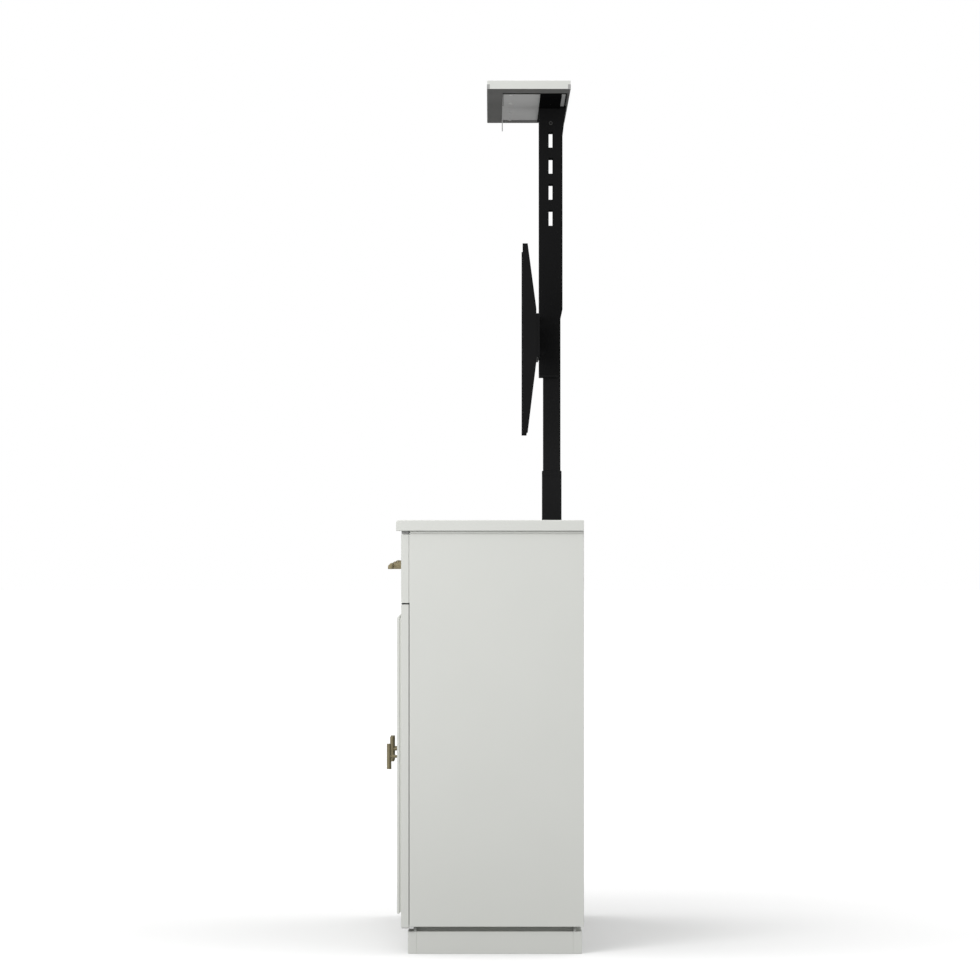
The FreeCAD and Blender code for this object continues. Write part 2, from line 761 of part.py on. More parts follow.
def make_door(bay):
    """A door with a raised field over a shadow quirk, bored top and bottom for its pivot pins."""
    name = f"door_{bay}"
    middle = front_middle(bay)
    half = FRONT_WIDTH / 2
    body = doc.addObject("PartDesign::Body", name)
    slab = sketch_on(body, f"{name}_slab", "XZ_Plane", -FRONT_BACK)
    outline(slab, rectangle(middle - half, middle + half, S["door_bottom"], DOOR_TOP))
    pad(body, slab, S["front_thick"], "Slab")
    steps = (("Quirk", ZERO, S["quirk_height"], S["panel_inset"] + S["quirk_depth"]),
             ("Field", S["quirk_height"], S["panel_rise"] - S["quirk_height"], S["panel_inset"]))
    for step, lift, thick, inset in steps:
        sketch = sketch_on(body, f"{name}_{step}_profile", "XZ_Plane", lift - FRONT_FACE)
        outline(sketch, rectangle(middle - half + inset, middle + half - inset,
                                  S["door_bottom"] + inset, DOOR_TOP - inset))
        pad(body, sketch, thick, step)
    crest = (FRONT_FACE - S["panel_rise"]).value
    ease(body, "Chamfer", S["panel_bevel"], lambda a, b: near(a.y, crest) and near(b.y, crest))
    face = FRONT_FACE.value
    edge_low = (middle - half).value
    edge_high = (middle + half).value
    rim = (S["door_bottom"].value, DOOR_TOP.value)

    def slab_rim(a, b):
        if not (near(a.y, face) and near(b.y, face)):
            return False
        upright = near(a.x, b.x) and (near(a.x, edge_low) or near(a.x, edge_high))
        return upright or (near(a.z, b.z) and (near(a.z, rim[0]) or near(a.z, rim[1])))

    ease(body, "Chamfer", S["front_round"], slab_rim)
    bore = S["pivot_radius"] + S["pivot_fit"]
    depth = S["pivot_length"] + S["leaf_gap"]
    for end, level, backwards in (("Low", S["door_bottom"], True), ("High", DOOR_TOP, False)):
        hole = sketch_on(body, f"{name}_pivot{end}", "XY_Plane", level)
        disc(hole, pivot_place(bay), bore)
        pocket(body, hole, depth, backwards, f"Pivot{end}")
    publish(body, name)


def taper(name, radius_start, radius_end, start, length, axis):
    """A cone frustum from a start point along +X, +Y or +Z."""
    item = doc.addObject("Part::Cone", name)
    bind(item, "Radius1", radius_start)
    bind(item, "Radius2", radius_end)
    bind(item, "Height", length)
    item.Placement = FreeCAD.Placement(Vector(), TURNS[axis])
    for key, place in zip("xyz", start):
        bind(item, f"Placement.Base.{key}", place)
    return item


def make_knob(bay):
    """A T-bar knob standing upright on one post that tapers towards the door."""
    name = f"door_knob_{bay}"
    free = front_middle(bay) - (FRONT_WIDTH / 2 - S["knob_edge"]) * hinge_side(bay)
    seat = FRONT_FACE - S["panel_rise"]
    bar_middle = seat - S["knob_reach"] + S["knob_radius"]
    low = KNOB_LEVEL - S["knob_length"] / 2
    bar = rod(f"{name}_bar", S["knob_radius"], (free, bar_middle, low), S["knob_length"], "z")
    post = taper(f"{name}_post", S["knob_post_wide"], S["knob_post_narrow"],
                 (free, bar_middle, KNOB_LEVEL), seat - bar_middle, "y")
    publish(fuse(name, [bar, post]), name)


# ---------------------------------------------------------------- drawers

def box_half():
    return BAY_WIDTH / 2 - S["slide_space"]


def make_drawer_box(bay):
    """Four boards and a floor let into grooves; the front board is screwed to the drawer front."""
    name = f"drawer_box_{bay}"
    middle = bay_middle(bay)
    half = box_half()
    wall = S["drawer_board"]
    low, high = BOX_LOW, BOX_HIGH
    back = STORE_BACK - S["drawer_back_gap"]
    body = box(f"{name}_block", (middle - half, middle + half), (FRONT_BACK, back), (low, high))
    floor_low = low + S["drawer_floor_lift"]
    floor_high = floor_low + S["drawer_floor"]
    hollow = box(f"{name}_hollow", (middle - half + wall, middle + half - wall),
                 (FRONT_BACK + wall, back - wall), (floor_high, high))
    under = box(f"{name}_under", (middle - half + wall, middle + half - wall),
                (FRONT_BACK + wall, back - wall), (low, floor_low))
    publish(cut(name, body, [hollow, under]), name)


def make_drawer_front(bay):
    """A flat overlay front with softened edges."""
    name = f"drawer_front_{bay}"
    middle = front_middle(bay)
    half = FRONT_WIDTH / 2
    corners = rectangle(middle - half, middle + half, DRAWER_BOTTOM,
                        DRAWER_TOP)
    body = profile_body(name, "XZ_Plane", -FRONT_BACK, corners, S["front_thick"])
    face = FRONT_FACE.value
    ease(body, "Chamfer", S["front_round"], lambda a, b: near(a.y, face) and near(b.y, face))
    publish(body, name)


def make_pull(bay):
    """A bar pull with a bevelled upper front edge, on two flat lugs level with its underside."""
    name = f"drawer_pull_{bay}"
    middle = front_middle(bay)
    front = FRONT_FACE - S["pull_reach"]
    back = front + S["pull_depth"]
    corners = [(front, PULL_LOW), (back, PULL_LOW), (back, PULL_TOP),
               (front + S["pull_bevel"], PULL_TOP), (front, PULL_TOP - S["pull_bevel"])]
    bar = profile_body(f"{name}_bar", "YZ_Plane", middle - S["pull_length"] / 2, corners,
                       S["pull_length"])
    parts = [bar]
    half = S["pull_lug_width"] / 2
    for index, side in enumerate((-1, 1)):
        x = middle + S["pull_post_spacing"] / 2 * side
        parts.append(box(f"{name}_lug{index}", (x - half, x + half), (back, FRONT_FACE),
                         (PULL_LOW, PULL_LOW + S["pull_lug_thick"])))
    publish(fuse(name, parts), name)


def channel(x_back, x_open, z_low, z_high, wall, lip):
    """Corners, in X and Z, of a C section whose back is at one X and whose lips are at another."""
    turn = 1 if x_open.value > x_back.value else -1
    inner = x_back + wall * turn
    return [(x_back, z_low), (x_open, z_low), (x_open, z_low + lip), (x_open - wall * turn, z_low + lip),
            (x_open - wall * turn, z_low + wall), (inner, z_low + wall), (inner, z_high - wall),
            (x_open - wall * turn, z_high - wall), (x_open - wall * turn, z_high - lip),
            (x_open, z_high - lip), (x_open, z_high), (x_back, z_high)]


def slide_levels():
    half = S["slide_height"] / 2
    return SLIDE_MIDDLE - half, SLIDE_MIDDLE + half


def slide_run():
    """The length and rear end shared by a slide's two members."""
    back = STORE_BACK - S["drawer_back_gap"]
    return back - CARCASS_FRONT, back


def make_cabinet_slides():
    """The outer members: C channels on the faces of the bay, lips towards the drawer."""
    length, back = slide_run()
    low, high = slide_levels()
    parts = []
    for bay in BAYS:
        for side in (-1, 1):
            name = f"runner_{bay}{side + 1}"
            wall_face = bay_middle(bay) + BAY_WIDTH / 2 * side
            lips = wall_face - (S["slide_space"] - S["slide_fit"] - S["slide_wall"] * 2) * side
            corners = channel(wall_face, lips, low, high, S["slide_wall"], S["slide_wall"] * 4)
            parts.append(profile_body(name, "XZ_Plane", -back, corners, length))
    publish(group("cabinet_slides", parts), "cabinet_slides")


def make_drawer_slides(bay):
    """The inner members: a plate on the drawer side with a narrow foot caught in the channel."""
    length, back = slide_run()
    low, high = slide_levels()
    wall = S["slide_wall"]
    clear = S["slide_fit"]
    parts = []
    for side in (-1, 1):
        name = f"drawer_slide_{bay}{side + 1}"
        seat = bay_middle(bay) + box_half() * side
        plate = seat + wall * side
        wall_face = bay_middle(bay) + BAY_WIDTH / 2 * side
        lip_in = wall_face - (S["slide_space"] - clear - wall * 3) * side
        foot = wall_face - (wall + clear) * side
        neck_low = low + wall * 4 + clear
        neck_high = high - wall * 4 - clear
        foot_low = low + wall + clear
        foot_high = high - wall - clear
        turn_in = lip_in + clear * side
        corners = [(seat, neck_low), (turn_in, neck_low), (turn_in, foot_low), (foot, foot_low),
                   (foot, foot_high), (turn_in, foot_high), (turn_in, neck_high), (seat, neck_high),
                   (seat, neck_high - wall), (turn_in + wall * side, neck_high - wall),
                   (turn_in + wall * side, foot_high - wall), (foot - wall * side, foot_high - wall),
                   (foot - wall * side, foot_low + wall), (turn_in + wall * side, foot_low + wall),
                   (turn_in + wall * side, neck_low + wall), (plate, neck_low + wall),
                   (plate, neck_low + wall * 3), (seat, neck_low + wall * 3)]
        parts.append(profile_body(name, "XZ_Plane", -back, corners, length))
    publish(group(f"drawer_slides_{bay}", parts), f"drawer_slides_{bay}")


# ---------------------------------------------------------------- mast

def mast_section(width, depth, wall):
    """Corners, in X and Y, of a column section open at the front between two lips."""
    x_out = width / 2
    front = MAST_MIDDLE - depth / 2
    back = MAST_MIDDLE + depth / 2
    lip = S["slot_width"] / 2
    return [(-lip, front), (-lip, front + wall), (wall - x_out, front + wall),
            (wall - x_out, back - wall), (x_out - wall, back - wall), (x_out - wall, front + wall),
            (lip, front + wall), (lip, front), (x_out, front), (x_out, back),
            (-x_out, back), (-x_out, front)]


def column(name, width, depth, wall, low, high):
    """A length of the open-fronted column section."""
    return publish(profile_body(name, "XY_Plane", low, mast_section(width, depth, wall),
                                high - low), name)


def collar(name, width, depth, wall, low):
    """A moulded end cap with the column's own section and a bevelled top edge."""
    body = profile_body(name, "XY_Plane", low, mast_section(width, depth, wall),
                        S["collar_height"])
    top = (low + S["collar_height"]).value
    x_out = (width / 2).value
    front = (MAST_MIDDLE - depth / 2).value
    back = (MAST_MIDDLE + depth / 2).value

    def outer_top(a, b):
        if not (near(a.z, top) and near(b.z, top)):
            return False
        side = near(abs(a.x), x_out) and near(a.x, b.x)
        return side or (near(a.y, b.y) and (near(a.y, front) or near(a.y, back)))

    ease(body, "Chamfer", S["collar_bevel"] / 2, outer_top)
    return publish(body, name)


def make_columns():
    collar_height = S["collar_height"]
    outer = (S["outer_width"], S["outer_depth"], S["outer_wall"])
    column("outer_column", *outer, GEARBOX_TOP, OUTER_TOP - collar_height)
    collar("outer_collar", *outer, OUTER_TOP - collar_height)
    mid = (MID_WIDTH, MID_DEPTH, S["mid_wall"])
    column("mid_column", *mid, MID_TOP - S["mid_length"], MID_TOP - collar_height)
    collar("mid_collar", *mid, MID_TOP - collar_height)
    inner = (INNER_WIDTH, INNER_DEPTH, S["inner_wall"])
    column("inner_column", *inner, INNER_TOP - S["inner_length"], INNER_TOP)


def make_drive():
    """The gear housing under the mast, its motor, the upright screw and the nut on the mid stage."""
    half = S["outer_width"] / 2
    case = box("gearbox_case", (-half, half + S["gearbox_reach"]), (MAST_FRONT, MAST_BACK),
               (BASE_TOP, GEARBOX_TOP))
    motor_x = half + S["gearbox_reach"] - S["motor_radius"] - S["outer_wall"]
    motor = rod("motor_can", S["motor_radius"], (motor_x, MAST_MIDDLE, GEARBOX_TOP),
                S["motor_height"], "z")
    publish(fuse("motor_gearbox", [case, motor]), "motor_gearbox")
    screw_top = OUTER_TOP - S["collar_height"]
    screw = rod("lead_screw", S["screw_radius"], (ZERO, MAST_MIDDLE, GEARBOX_TOP),
                screw_top - GEARBOX_TOP, "z")
    publish(screw, "lead_screw")
    low = MID_TOP - S["mid_length"]
    reach = MID_WIDTH / 2 - S["mid_wall"]
    depth = MID_DEPTH / 2 - S["mid_wall"]
    block = box("drive_nut_block", (-reach, reach),
                (MAST_MIDDLE - depth, MAST_MIDDLE + depth), (low, low + S["nut_height"]))
    bore = rod("drive_nut_bore", S["screw_radius"] + S["nut_fit"],
               (ZERO, MAST_MIDDLE, low), S["nut_height"], "z")
    publish(cut("drive_nut", block, [bore]), "drive_nut")


def make_base():
    """The base plate, the wall bracket of the mast and the control box on the back panel."""
    half = S["base_plate_width"] / 2
    depth = S["base_plate_depth"] / 2
    plate = box("lift_base_plate", (-half, half), (MAST_MIDDLE - depth, BACK_FACE - S["nut_gap"]),
                (FLOOR_TOP, BASE_TOP))
    screws = []
    for index, side in enumerate((-1, 1)):
        x = (half - S["bracket_wing"] / 2) * side
        screws.append(rod(f"base_hole{index}", S["lid_screw_radius"],
                          (x, MAST_MIDDLE, FLOOR_TOP), S["base_plate_thick"], "z"))
    publish(cut("lift_base", plate, screws), "lift_base")
    brackets = [mast_bracket("bracket_a", BRACKET_LOW),
                mast_bracket("bracket_b", BRACKET_HIGH)]
    publish(group("mast_brackets", brackets), "mast_brackets")
    x = -S["control_side"]
    half = S["control_width"] / 2
    case = profile_body("control_box", "XY_Plane", CONTROL_LEVEL,
                        rectangle(x - half, x + half, BACK_FACE - S["control_depth"], BACK_FACE),
                        S["control_height"])
    face = (BACK_FACE - S["control_depth"]).value
    ease(case, "Fillet", S["collar_bevel"], lambda a, b: near(a.y, face) and near(b.y, face))
    publish(case, "control_box")


def mast_bracket(name, low):
    """A hat-shaped strap from the back of the mast to the back panel."""
    half = S["outer_width"] / 2
    wing = half + S["bracket_wing"]
    front = MAST_BACK
    sheet_thick = S["bracket_thick"]
    corners = [(-half, front), (half, front), (half, BACK_FACE - sheet_thick),
               (wing, BACK_FACE - sheet_thick), (wing, BACK_FACE),
               (half - sheet_thick, BACK_FACE), (half - sheet_thick, front + sheet_thick),
               (sheet_thick - half, front + sheet_thick), (sheet_thick - half, BACK_FACE),
               (-wing, BACK_FACE), (-wing, BACK_FACE - sheet_thick),
               (-half, BACK_FACE - sheet_thick)]
    return profile_body(name, "XY_Plane", low, corners, S["bracket_height"])


# ---------------------------------------------------------------- screen carriage

def post_side():
    """Corners, in Y and Z, of the carriage post seen from the side."""
    return [(POST_FRONT, POST_BOTTOM), (POST_STEP_BACK, POST_BOTTOM),
            (POST_STEP_BACK, STEP_LOW), (POST_BACK, STEP_HIGH),
            (POST_BACK, PLATE_UNDER - S["gusset_drop"]),
            (POST_BACK + S["gusset_reach"], PLATE_UNDER),
            (POST_FRONT, PLATE_UNDER)]


def post_slots(body):
    """Four slots through both flanges."""
    half = S["slot_wide"] / 2
    outer = POST_X + S["post_flange"]
    for index in range(4):
        top = SLOT_TOP - S["slot_pitch"] * index
        sketch = sketch_on(body, f"post_slot{index}", "YZ_Plane", -outer)
        outline(sketch, rectangle(SLOT_MIDDLE - half, SLOT_MIDDLE + half,
                                  top - S["slot_long"], top))
        pocket(body, sketch, outer * 2, True, f"Slot{index}")


def make_post():
    """A folded channel, open at the back, that slides over the front of the mast."""
    outer = POST_X + S["post_flange"]
    body = profile_body("carriage_post", "YZ_Plane", -outer, post_side(), outer * 2)
    hollow = sketch_on(body, "post_hollow", "XY_Plane", POST_BOTTOM)
    web_back = POST_FRONT + S["post_web"]
    outline(hollow, rectangle(-POST_X, POST_X, web_back,
                              POST_BACK + S["gusset_reach"] * 2))
    top_plate = PLATE_UNDER - S["post_flange"]
    pocket(body, hollow, top_plate - POST_BOTTOM, True, "Hollow")
    post_slots(body)
    publish(body, "carriage_post")


def make_runner():
    """The sliding block inside the inner column and the neck that joins it to the post."""
    wall = S["inner_wall"] + S["runner_fit"]
    reach = INNER_WIDTH / 2 - wall
    front = MAST_MIDDLE - INNER_DEPTH / 2 + wall
    back = MAST_MIDDLE + INNER_DEPTH / 2 - wall
    neck = S["runner_neck"] / 2
    web_back = POST_FRONT + S["post_web"]
    corners = [(-neck, web_back), (neck, web_back), (neck, front), (reach, front),
               (reach, back), (-reach, back), (-reach, front), (-neck, front)]
    low = RUNNER_TOP - S["runner_length"]
    body = profile_body("carriage_runner", "XY_Plane", low, corners, S["runner_length"])
    bore = sketch_on(body, "runner_bore", "XY_Plane", low)
    disc(bore, (ZERO, MAST_MIDDLE), S["screw_radius"] + S["screw_clear"])
    pocket(body, bore, S["runner_length"], True, "Bore")
    publish(body, "carriage_runner")


def make_arm(name, side):
    """A tapered channel that bolts to the back of the screen through holes at the usual pitches."""
    middle = S["screen_pitch"] / 2 * side
    half_width = S["arm_width"] / 2
    half = S["arm_length"] / 2
    flat = S["arm_flat"] / 2
    z = ARM_MIDDLE
    front = ARM_FRONT
    shallow = front + S["arm_shallow"]
    deep = CROSS_FACE
    corners = [(front, z - half), (shallow, z - half), (deep, CROSS_MIDDLE - flat),
               (deep, CROSS_MIDDLE + flat), (shallow, z + half), (front, z + half)]
    body = profile_body(name, "YZ_Plane", middle - half_width, corners, S["arm_width"])
    hollow = sketch_on(body, f"{name}_hollow", "XZ_Plane", -front - S["arm_sheet"])
    inside = half_width - S["arm_sheet"]
    outline(hollow, rectangle(middle - inside, middle + inside, z - half, z + half))
    pocket(body, hollow, S["arm_deep"], False, "Hollow")
    holes = sketch_on(body, f"{name}_holes", "XZ_Plane", -front)
    for share in (-2, -1, 1, 2):
        disc(holes, (middle, z + S["screen_pitch"] / 4 * share), S["screen_hole_radius"])
    pocket(body, holes, S["arm_sheet"], False, "Holes")
    publish(body, name)


def make_cross_plate():
    """The wide slotted plate that carries both arms, folded over at its top and bottom edges."""
    low = CROSS_LOW
    high = CROSS_HIGH
    wall = S["cross_sheet"]
    back = POST_FRONT
    front = CROSS_FACE
    reach = S["screen_pitch"] / 2 + S["arm_width"] / 2
    corners = [(front, low), (back, low), (back, low + wall), (front + wall, low + wall),
               (front + wall, high - wall), (back, high - wall), (back, high), (front, high)]
    body = profile_body("cross_plate", "YZ_Plane", -reach, corners, reach * 2)
    slots = sketch_on(body, "cross_plate_slots", "XZ_Plane", -front)
    half_long = S["cross_slot_long"] / 2
    half_wide = S["cross_slot_wide"] / 2
    for share in (-2, -1, 1, 2):
        x = (POST_X + S["cross_slot_pitch"] * (abs(share) - 0.5)) * (1 if share > 0 else -1)
        for row in (-1, 1):
            z = CROSS_MIDDLE + S["arm_bolt_rise"] * row
            outline(slots, rectangle(x - half_long, x + half_long, z - half_wide, z + half_wide))
    pocket(body, slots, wall, False, "Slots")
    publish(body, "cross_plate")
    bolts = []
    for side in (-1, 1):
        for row in (-1, 1):
            x = S["screen_pitch"] / 2 * side
            level = CROSS_MIDDLE + S["arm_bolt_rise"] * row
            name = f"arm_bolt{side + 1}{row + 1}"
            bolts.append(hex_head(name, S["arm_bolt_radius"], (x, front - S["arm_bolt_head"], level),
                                  S["arm_bolt_head"], "y"))
    publish(group("arm_bolts", bolts), "arm_bolts")


def make_lid():
    """The lid that closes the well, and the screws that hold it to its steel plate."""
    half = S["lid_length"] / 2
    body = profile_body("lid", "XY_Plane", LID_UNDER,
                        rectangle(-half, half, LID_FRONT, LID_BACK), S["lid_thick"])
    top = LID_TOP.value
    ease(body, "Fillet", S["front_round"], lambda a, b: near(a.z, top) and near(b.z, top))
    publish(body, "lid")
    screws = []
    rows = ((PLATE_FRONT + S["lid_screw_margin"], PLATE_UNDER),
            (SLOT_MIDDLE, PLATE_UNDER - S["lid_rail_thick"]))
    for side in (-1, 1):
        for place in range(2):
            x = (PLATE_END - S["lid_screw_margin"] - S["lid_screw_pitch"] * place) * side
            for row, (y, seat) in enumerate(rows):
                screws.append(hex_head(f"lid_screw{side + 1}{place}{row}", S["lid_screw_radius"],
                                       (x, y, seat - S["lid_screw_head"]), S["lid_screw_head"],
                                       "z"))
    publish(group("lid_screws", screws), "lid_screws")


def make_lid_plate():
    """The plate under the lid, with a rail, a rear lip and a locating tab on each side."""
    wall = S["lid_plate_thick"]
    plate = box("lid_plate_sheet", (-PLATE_END, PLATE_END), (PLATE_FRONT, PLATE_BACK),
                (PLATE_UNDER, LID_UNDER))
    parts = [plate]
    for side in (-1, 1):
        post_side_x = (POST_X + S["post_flange"]) * side
        end = PLATE_END * side
        run = (post_side_x, end) if side > 0 else (end, post_side_x)
        tab_inner = end - S["lid_tab_width"] * side
        tab_span = (tab_inner, end) if side > 0 else (end, tab_inner)
        for label, span, depth, drop in (
                ("rail", run, (POST_FRONT, POST_STEP_BACK), S["lid_rail_thick"]),
                ("lip", run, (PLATE_BACK - wall, PLATE_BACK), S["plate_lip_drop"]),
                ("tab", tab_span, (PLATE_FRONT, PLATE_FRONT + wall), S["lid_tab_drop"])):
            parts.append(box(f"lid_{label}{side + 1}", span, depth,
                             (PLATE_UNDER - drop, PLATE_UNDER)))
    publish(fuse("lid_plate", parts), "lid_plate")


def write_nodes():
    """Recomputes, checks every object and writes one STEP file for each node."""
    doc.recompute()
    for item in doc.Objects:
        if {"Invalid", "Error"} & set(item.State):
            raise ValueError(f"{item.Name} failed: {item.State}")
    for item in NODES:
        if item.Shape.isNull() or not item.Shape.isValid():
            raise ValueError(f"{item.Label} has no valid shape")
    os.makedirs("parts", exist_ok=True)
    for item in NODES:
        item.Shape.exportStep(f"parts/{item.Label}.step")
    print(len(NODES), "nodes")


make_plinth()
make_carcass()
make_back()
make_counter()
make_shelves()
make_leaves()
make_cabinet_slides()
for each_bay in BAYS:
    make_door(each_bay)
    make_knob(each_bay)
    make_drawer_box(each_bay)
    make_drawer_front(each_bay)
    make_pull(each_bay)
    make_drawer_slides(each_bay)
make_columns()
make_drive()
make_base()
make_post()
make_runner()
make_arm("screen_arm_left", -1)
make_arm("screen_arm_right", 1)
make_cross_plate()
make_lid()
make_lid_plate()
write_nodes()
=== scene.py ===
"""The look of the television lift cabinet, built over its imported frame."""

import json
import logging
import math
from dataclasses import dataclass
from enum import Enum
from typing import Callable, Iterable, Mapping, Sequence

import bmesh
import bpy
from mathutils import Matrix, Vector

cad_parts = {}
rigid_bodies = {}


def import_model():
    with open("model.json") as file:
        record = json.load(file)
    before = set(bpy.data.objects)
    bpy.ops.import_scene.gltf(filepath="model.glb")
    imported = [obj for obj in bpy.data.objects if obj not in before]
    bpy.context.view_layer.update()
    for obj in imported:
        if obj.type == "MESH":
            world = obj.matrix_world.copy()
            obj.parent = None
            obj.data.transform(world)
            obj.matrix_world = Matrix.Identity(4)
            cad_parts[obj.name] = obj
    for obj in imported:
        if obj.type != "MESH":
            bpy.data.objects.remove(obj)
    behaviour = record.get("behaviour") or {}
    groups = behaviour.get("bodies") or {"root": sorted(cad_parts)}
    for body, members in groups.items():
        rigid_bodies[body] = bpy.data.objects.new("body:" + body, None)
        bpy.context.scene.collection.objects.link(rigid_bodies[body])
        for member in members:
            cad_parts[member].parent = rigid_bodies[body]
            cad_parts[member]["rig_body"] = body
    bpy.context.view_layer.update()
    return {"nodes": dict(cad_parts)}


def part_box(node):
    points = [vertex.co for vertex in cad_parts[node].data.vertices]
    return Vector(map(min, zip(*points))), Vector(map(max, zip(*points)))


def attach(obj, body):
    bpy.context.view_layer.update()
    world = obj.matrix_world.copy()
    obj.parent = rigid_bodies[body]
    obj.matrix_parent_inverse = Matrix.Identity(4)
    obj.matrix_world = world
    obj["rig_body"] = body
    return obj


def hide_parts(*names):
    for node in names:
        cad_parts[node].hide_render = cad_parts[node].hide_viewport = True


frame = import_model()

LOG = logging.getLogger("lift_cabinet")

Pair = tuple[float, float]
Triple = tuple[float, float, float]
Colour = Triple
Levels = tuple[float, ...]
MeshWork = bmesh.types.BMesh
Vert = bmesh.types.BMVert
Edge = bmesh.types.BMEdge
Socket = bpy.types.NodeSocket
Sockets = Mapping[str, Socket]
FaceTest = Callable[[Vector, Vector], bool]

BAYS = ("left", "centre", "right")
# The Mix node repeats its socket names for each kind of value, so these are their places in it.
MIX_NUMBERS = (2, 3)
MIX_COLOURS = (6, 7)
MIX_COLOUR_RESULT = 2
# A face is upright, or turned down, when the rise of its normal is under these.
UPRIGHT = 0.5
TURNED_DOWN = -0.9
# Faces that meet at less than the first angle are one face, and past the second their edge is rounded.
FLAT = math.radians(0.5)
CRISP = math.radians(28)


class Slot(str, Enum):
    """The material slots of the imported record."""

    PAINT = "cabinet_paint"
    BOARD = "inner_board"
    BIRCH = "drawer_board"
    BLACK = "black_steel"
    BRASS = "antique_brass"
    ZINC = "zinc_steel"
    PLASTIC = "black_plastic"


class Axis(Enum):
    """The way that a turned or pressed piece points."""

    RIGHT = (1.0, 0.0, 0.0)
    LEFT = (-1.0, 0.0, 0.0)
    REAR = (0.0, 1.0, 0.0)
    FRONT = (0.0, -1.0, 0.0)
    UP = (0.0, 0.0, 1.0)

    def turn(self) -> Matrix:
        """The turn that carries +Z onto this way."""
        return Vector((0.0, 0.0, 1.0)).rotation_difference(Vector(self.value)).to_matrix().to_4x4()


class Screw(Enum):
    """Radius and height of a screw's head, and the radius of its socket over the corners."""

    PANEL = (0.0035, 0.0008, 0.0016)
    CLEAT = (0.003, 0.0012, 0.0014)
    FRONT = (0.0042, 0.002, 0.0018)
    SLIDE = (0.003, 0.0004, 0.0013)
    BASE = (0.0065, 0.003, 0.0028)
    GEARBOX = (0.0032, 0.002, 0.0015)
    CONTROL = (0.0022, 0.0012, 0.0010)
    POST = (0.0042, 0.0022, 0.002)
    PLATE = (0.0055, 0.0026, 0.0026)


# ---------------- shader nodes


class NodeSketch:
    """Adds nodes to one tree and joins them."""

    def __init__(self, tree: bpy.types.NodeTree) -> None:
        """Starts a sketch on the node tree of a material, a world or a group."""
        self.tree = tree

    @classmethod
    def fresh(cls, owner: bpy.types.Material | bpy.types.World) -> "NodeSketch":
        """Clears the nodes of a material or world and starts a sketch there.

        Args:
            owner: The material or the world.

        Returns:
            The sketch.
        """
        owner.use_nodes = True
        owner.node_tree.nodes.clear()
        return cls(owner.node_tree)

    def add(self, kind: str, inputs: Mapping[str | int, object] | None = None,
            settings: Mapping[str, object] | None = None) -> bpy.types.Node:
        """Adds one node, sets it and feeds it.

        Args:
            kind: The node's type name.
            inputs: Values or output sockets for its inputs.
            settings: Properties of the node itself.

        Returns:
            The new node.
        """
        node = self.tree.nodes.new(kind)
        for name, value in (settings or {}).items():
            setattr(node, name, value)
        for name, value in (inputs or {}).items():
            if isinstance(value, bpy.types.NodeSocket):
                self.tree.links.new(value, node.inputs[name])
            else:
                node.inputs[name].default_value = value
        return node

    def maths(self, operation: str, first: Socket | float, second: Socket | float) -> Socket:
        """Works one number out of two."""
        return self.add("ShaderNodeMath", {0: first, 1: second}, {"operation": operation}).outputs[0]

    def effect(self, group: bpy.types.NodeTree, **values: float) -> Sockets:
        """Places a shared effect with its own values and gives its outputs."""
        return self.add("ShaderNodeGroup", values, {"node_tree": group}).outputs

    def place(self) -> Socket:
        """Where the shaded point lies on its object."""
        return self.add("ShaderNodeTexCoord").outputs["Object"]

    def stretched(self, scale: Socket | Triple) -> Socket:
        """The same place, with each axis stretched."""
        return self.add("ShaderNodeMapping", {"Vector": self.place(), "Scale": scale}).outputs[0]

    def noise(self, place: Socket, scale: Socket | float, detail: float, swirl: float = 0.0) -> Socket:
        """A soft random value from 0 to 1."""
        return self.add("ShaderNodeTexNoise", {"Vector": place, "Scale": scale, "Detail": detail,
                                               "Distortion": swirl}).outputs[0]

    def ramp(self, value: Socket, given: Pair = (0.0, 1.0), wanted: Pair = (0.0, 1.0)) -> Socket:
        """Carries a value from the given range to the wanted one and keeps it inside."""
        limits = {"From Min": given[0], "From Max": given[1], "To Min": wanted[0], "To Max": wanted[1]}
        return self.add("ShaderNodeMapRange", {"Value": value, **limits}, {"clamp": True}).outputs["Result"]

    def blend(self, factor: Socket, first: Colour, second: Colour) -> Socket:
        """Goes from the first colour, at 0, to the second, at 1."""
        colours = {socket: (*colour, 1.0) for socket, colour in zip(MIX_COLOURS, (first, second))}
        return self.add("ShaderNodeMix", {"Factor": factor, **colours},
                        {"data_type": "RGBA"}).outputs[MIX_COLOUR_RESULT]

    def seen(self) -> Socket:
        """Tells what is seen from what only lights the room.

        Returns:
            1 for rays from the camera, a gloss or glass, and otherwise 0.
        """
        light = self.add("ShaderNodeLightPath").outputs
        direct = self.maths("MAXIMUM", light["Is Camera Ray"], light["Is Glossy Ray"])
        return self.maths("MAXIMUM", direct, light["Is Transmission Ray"])


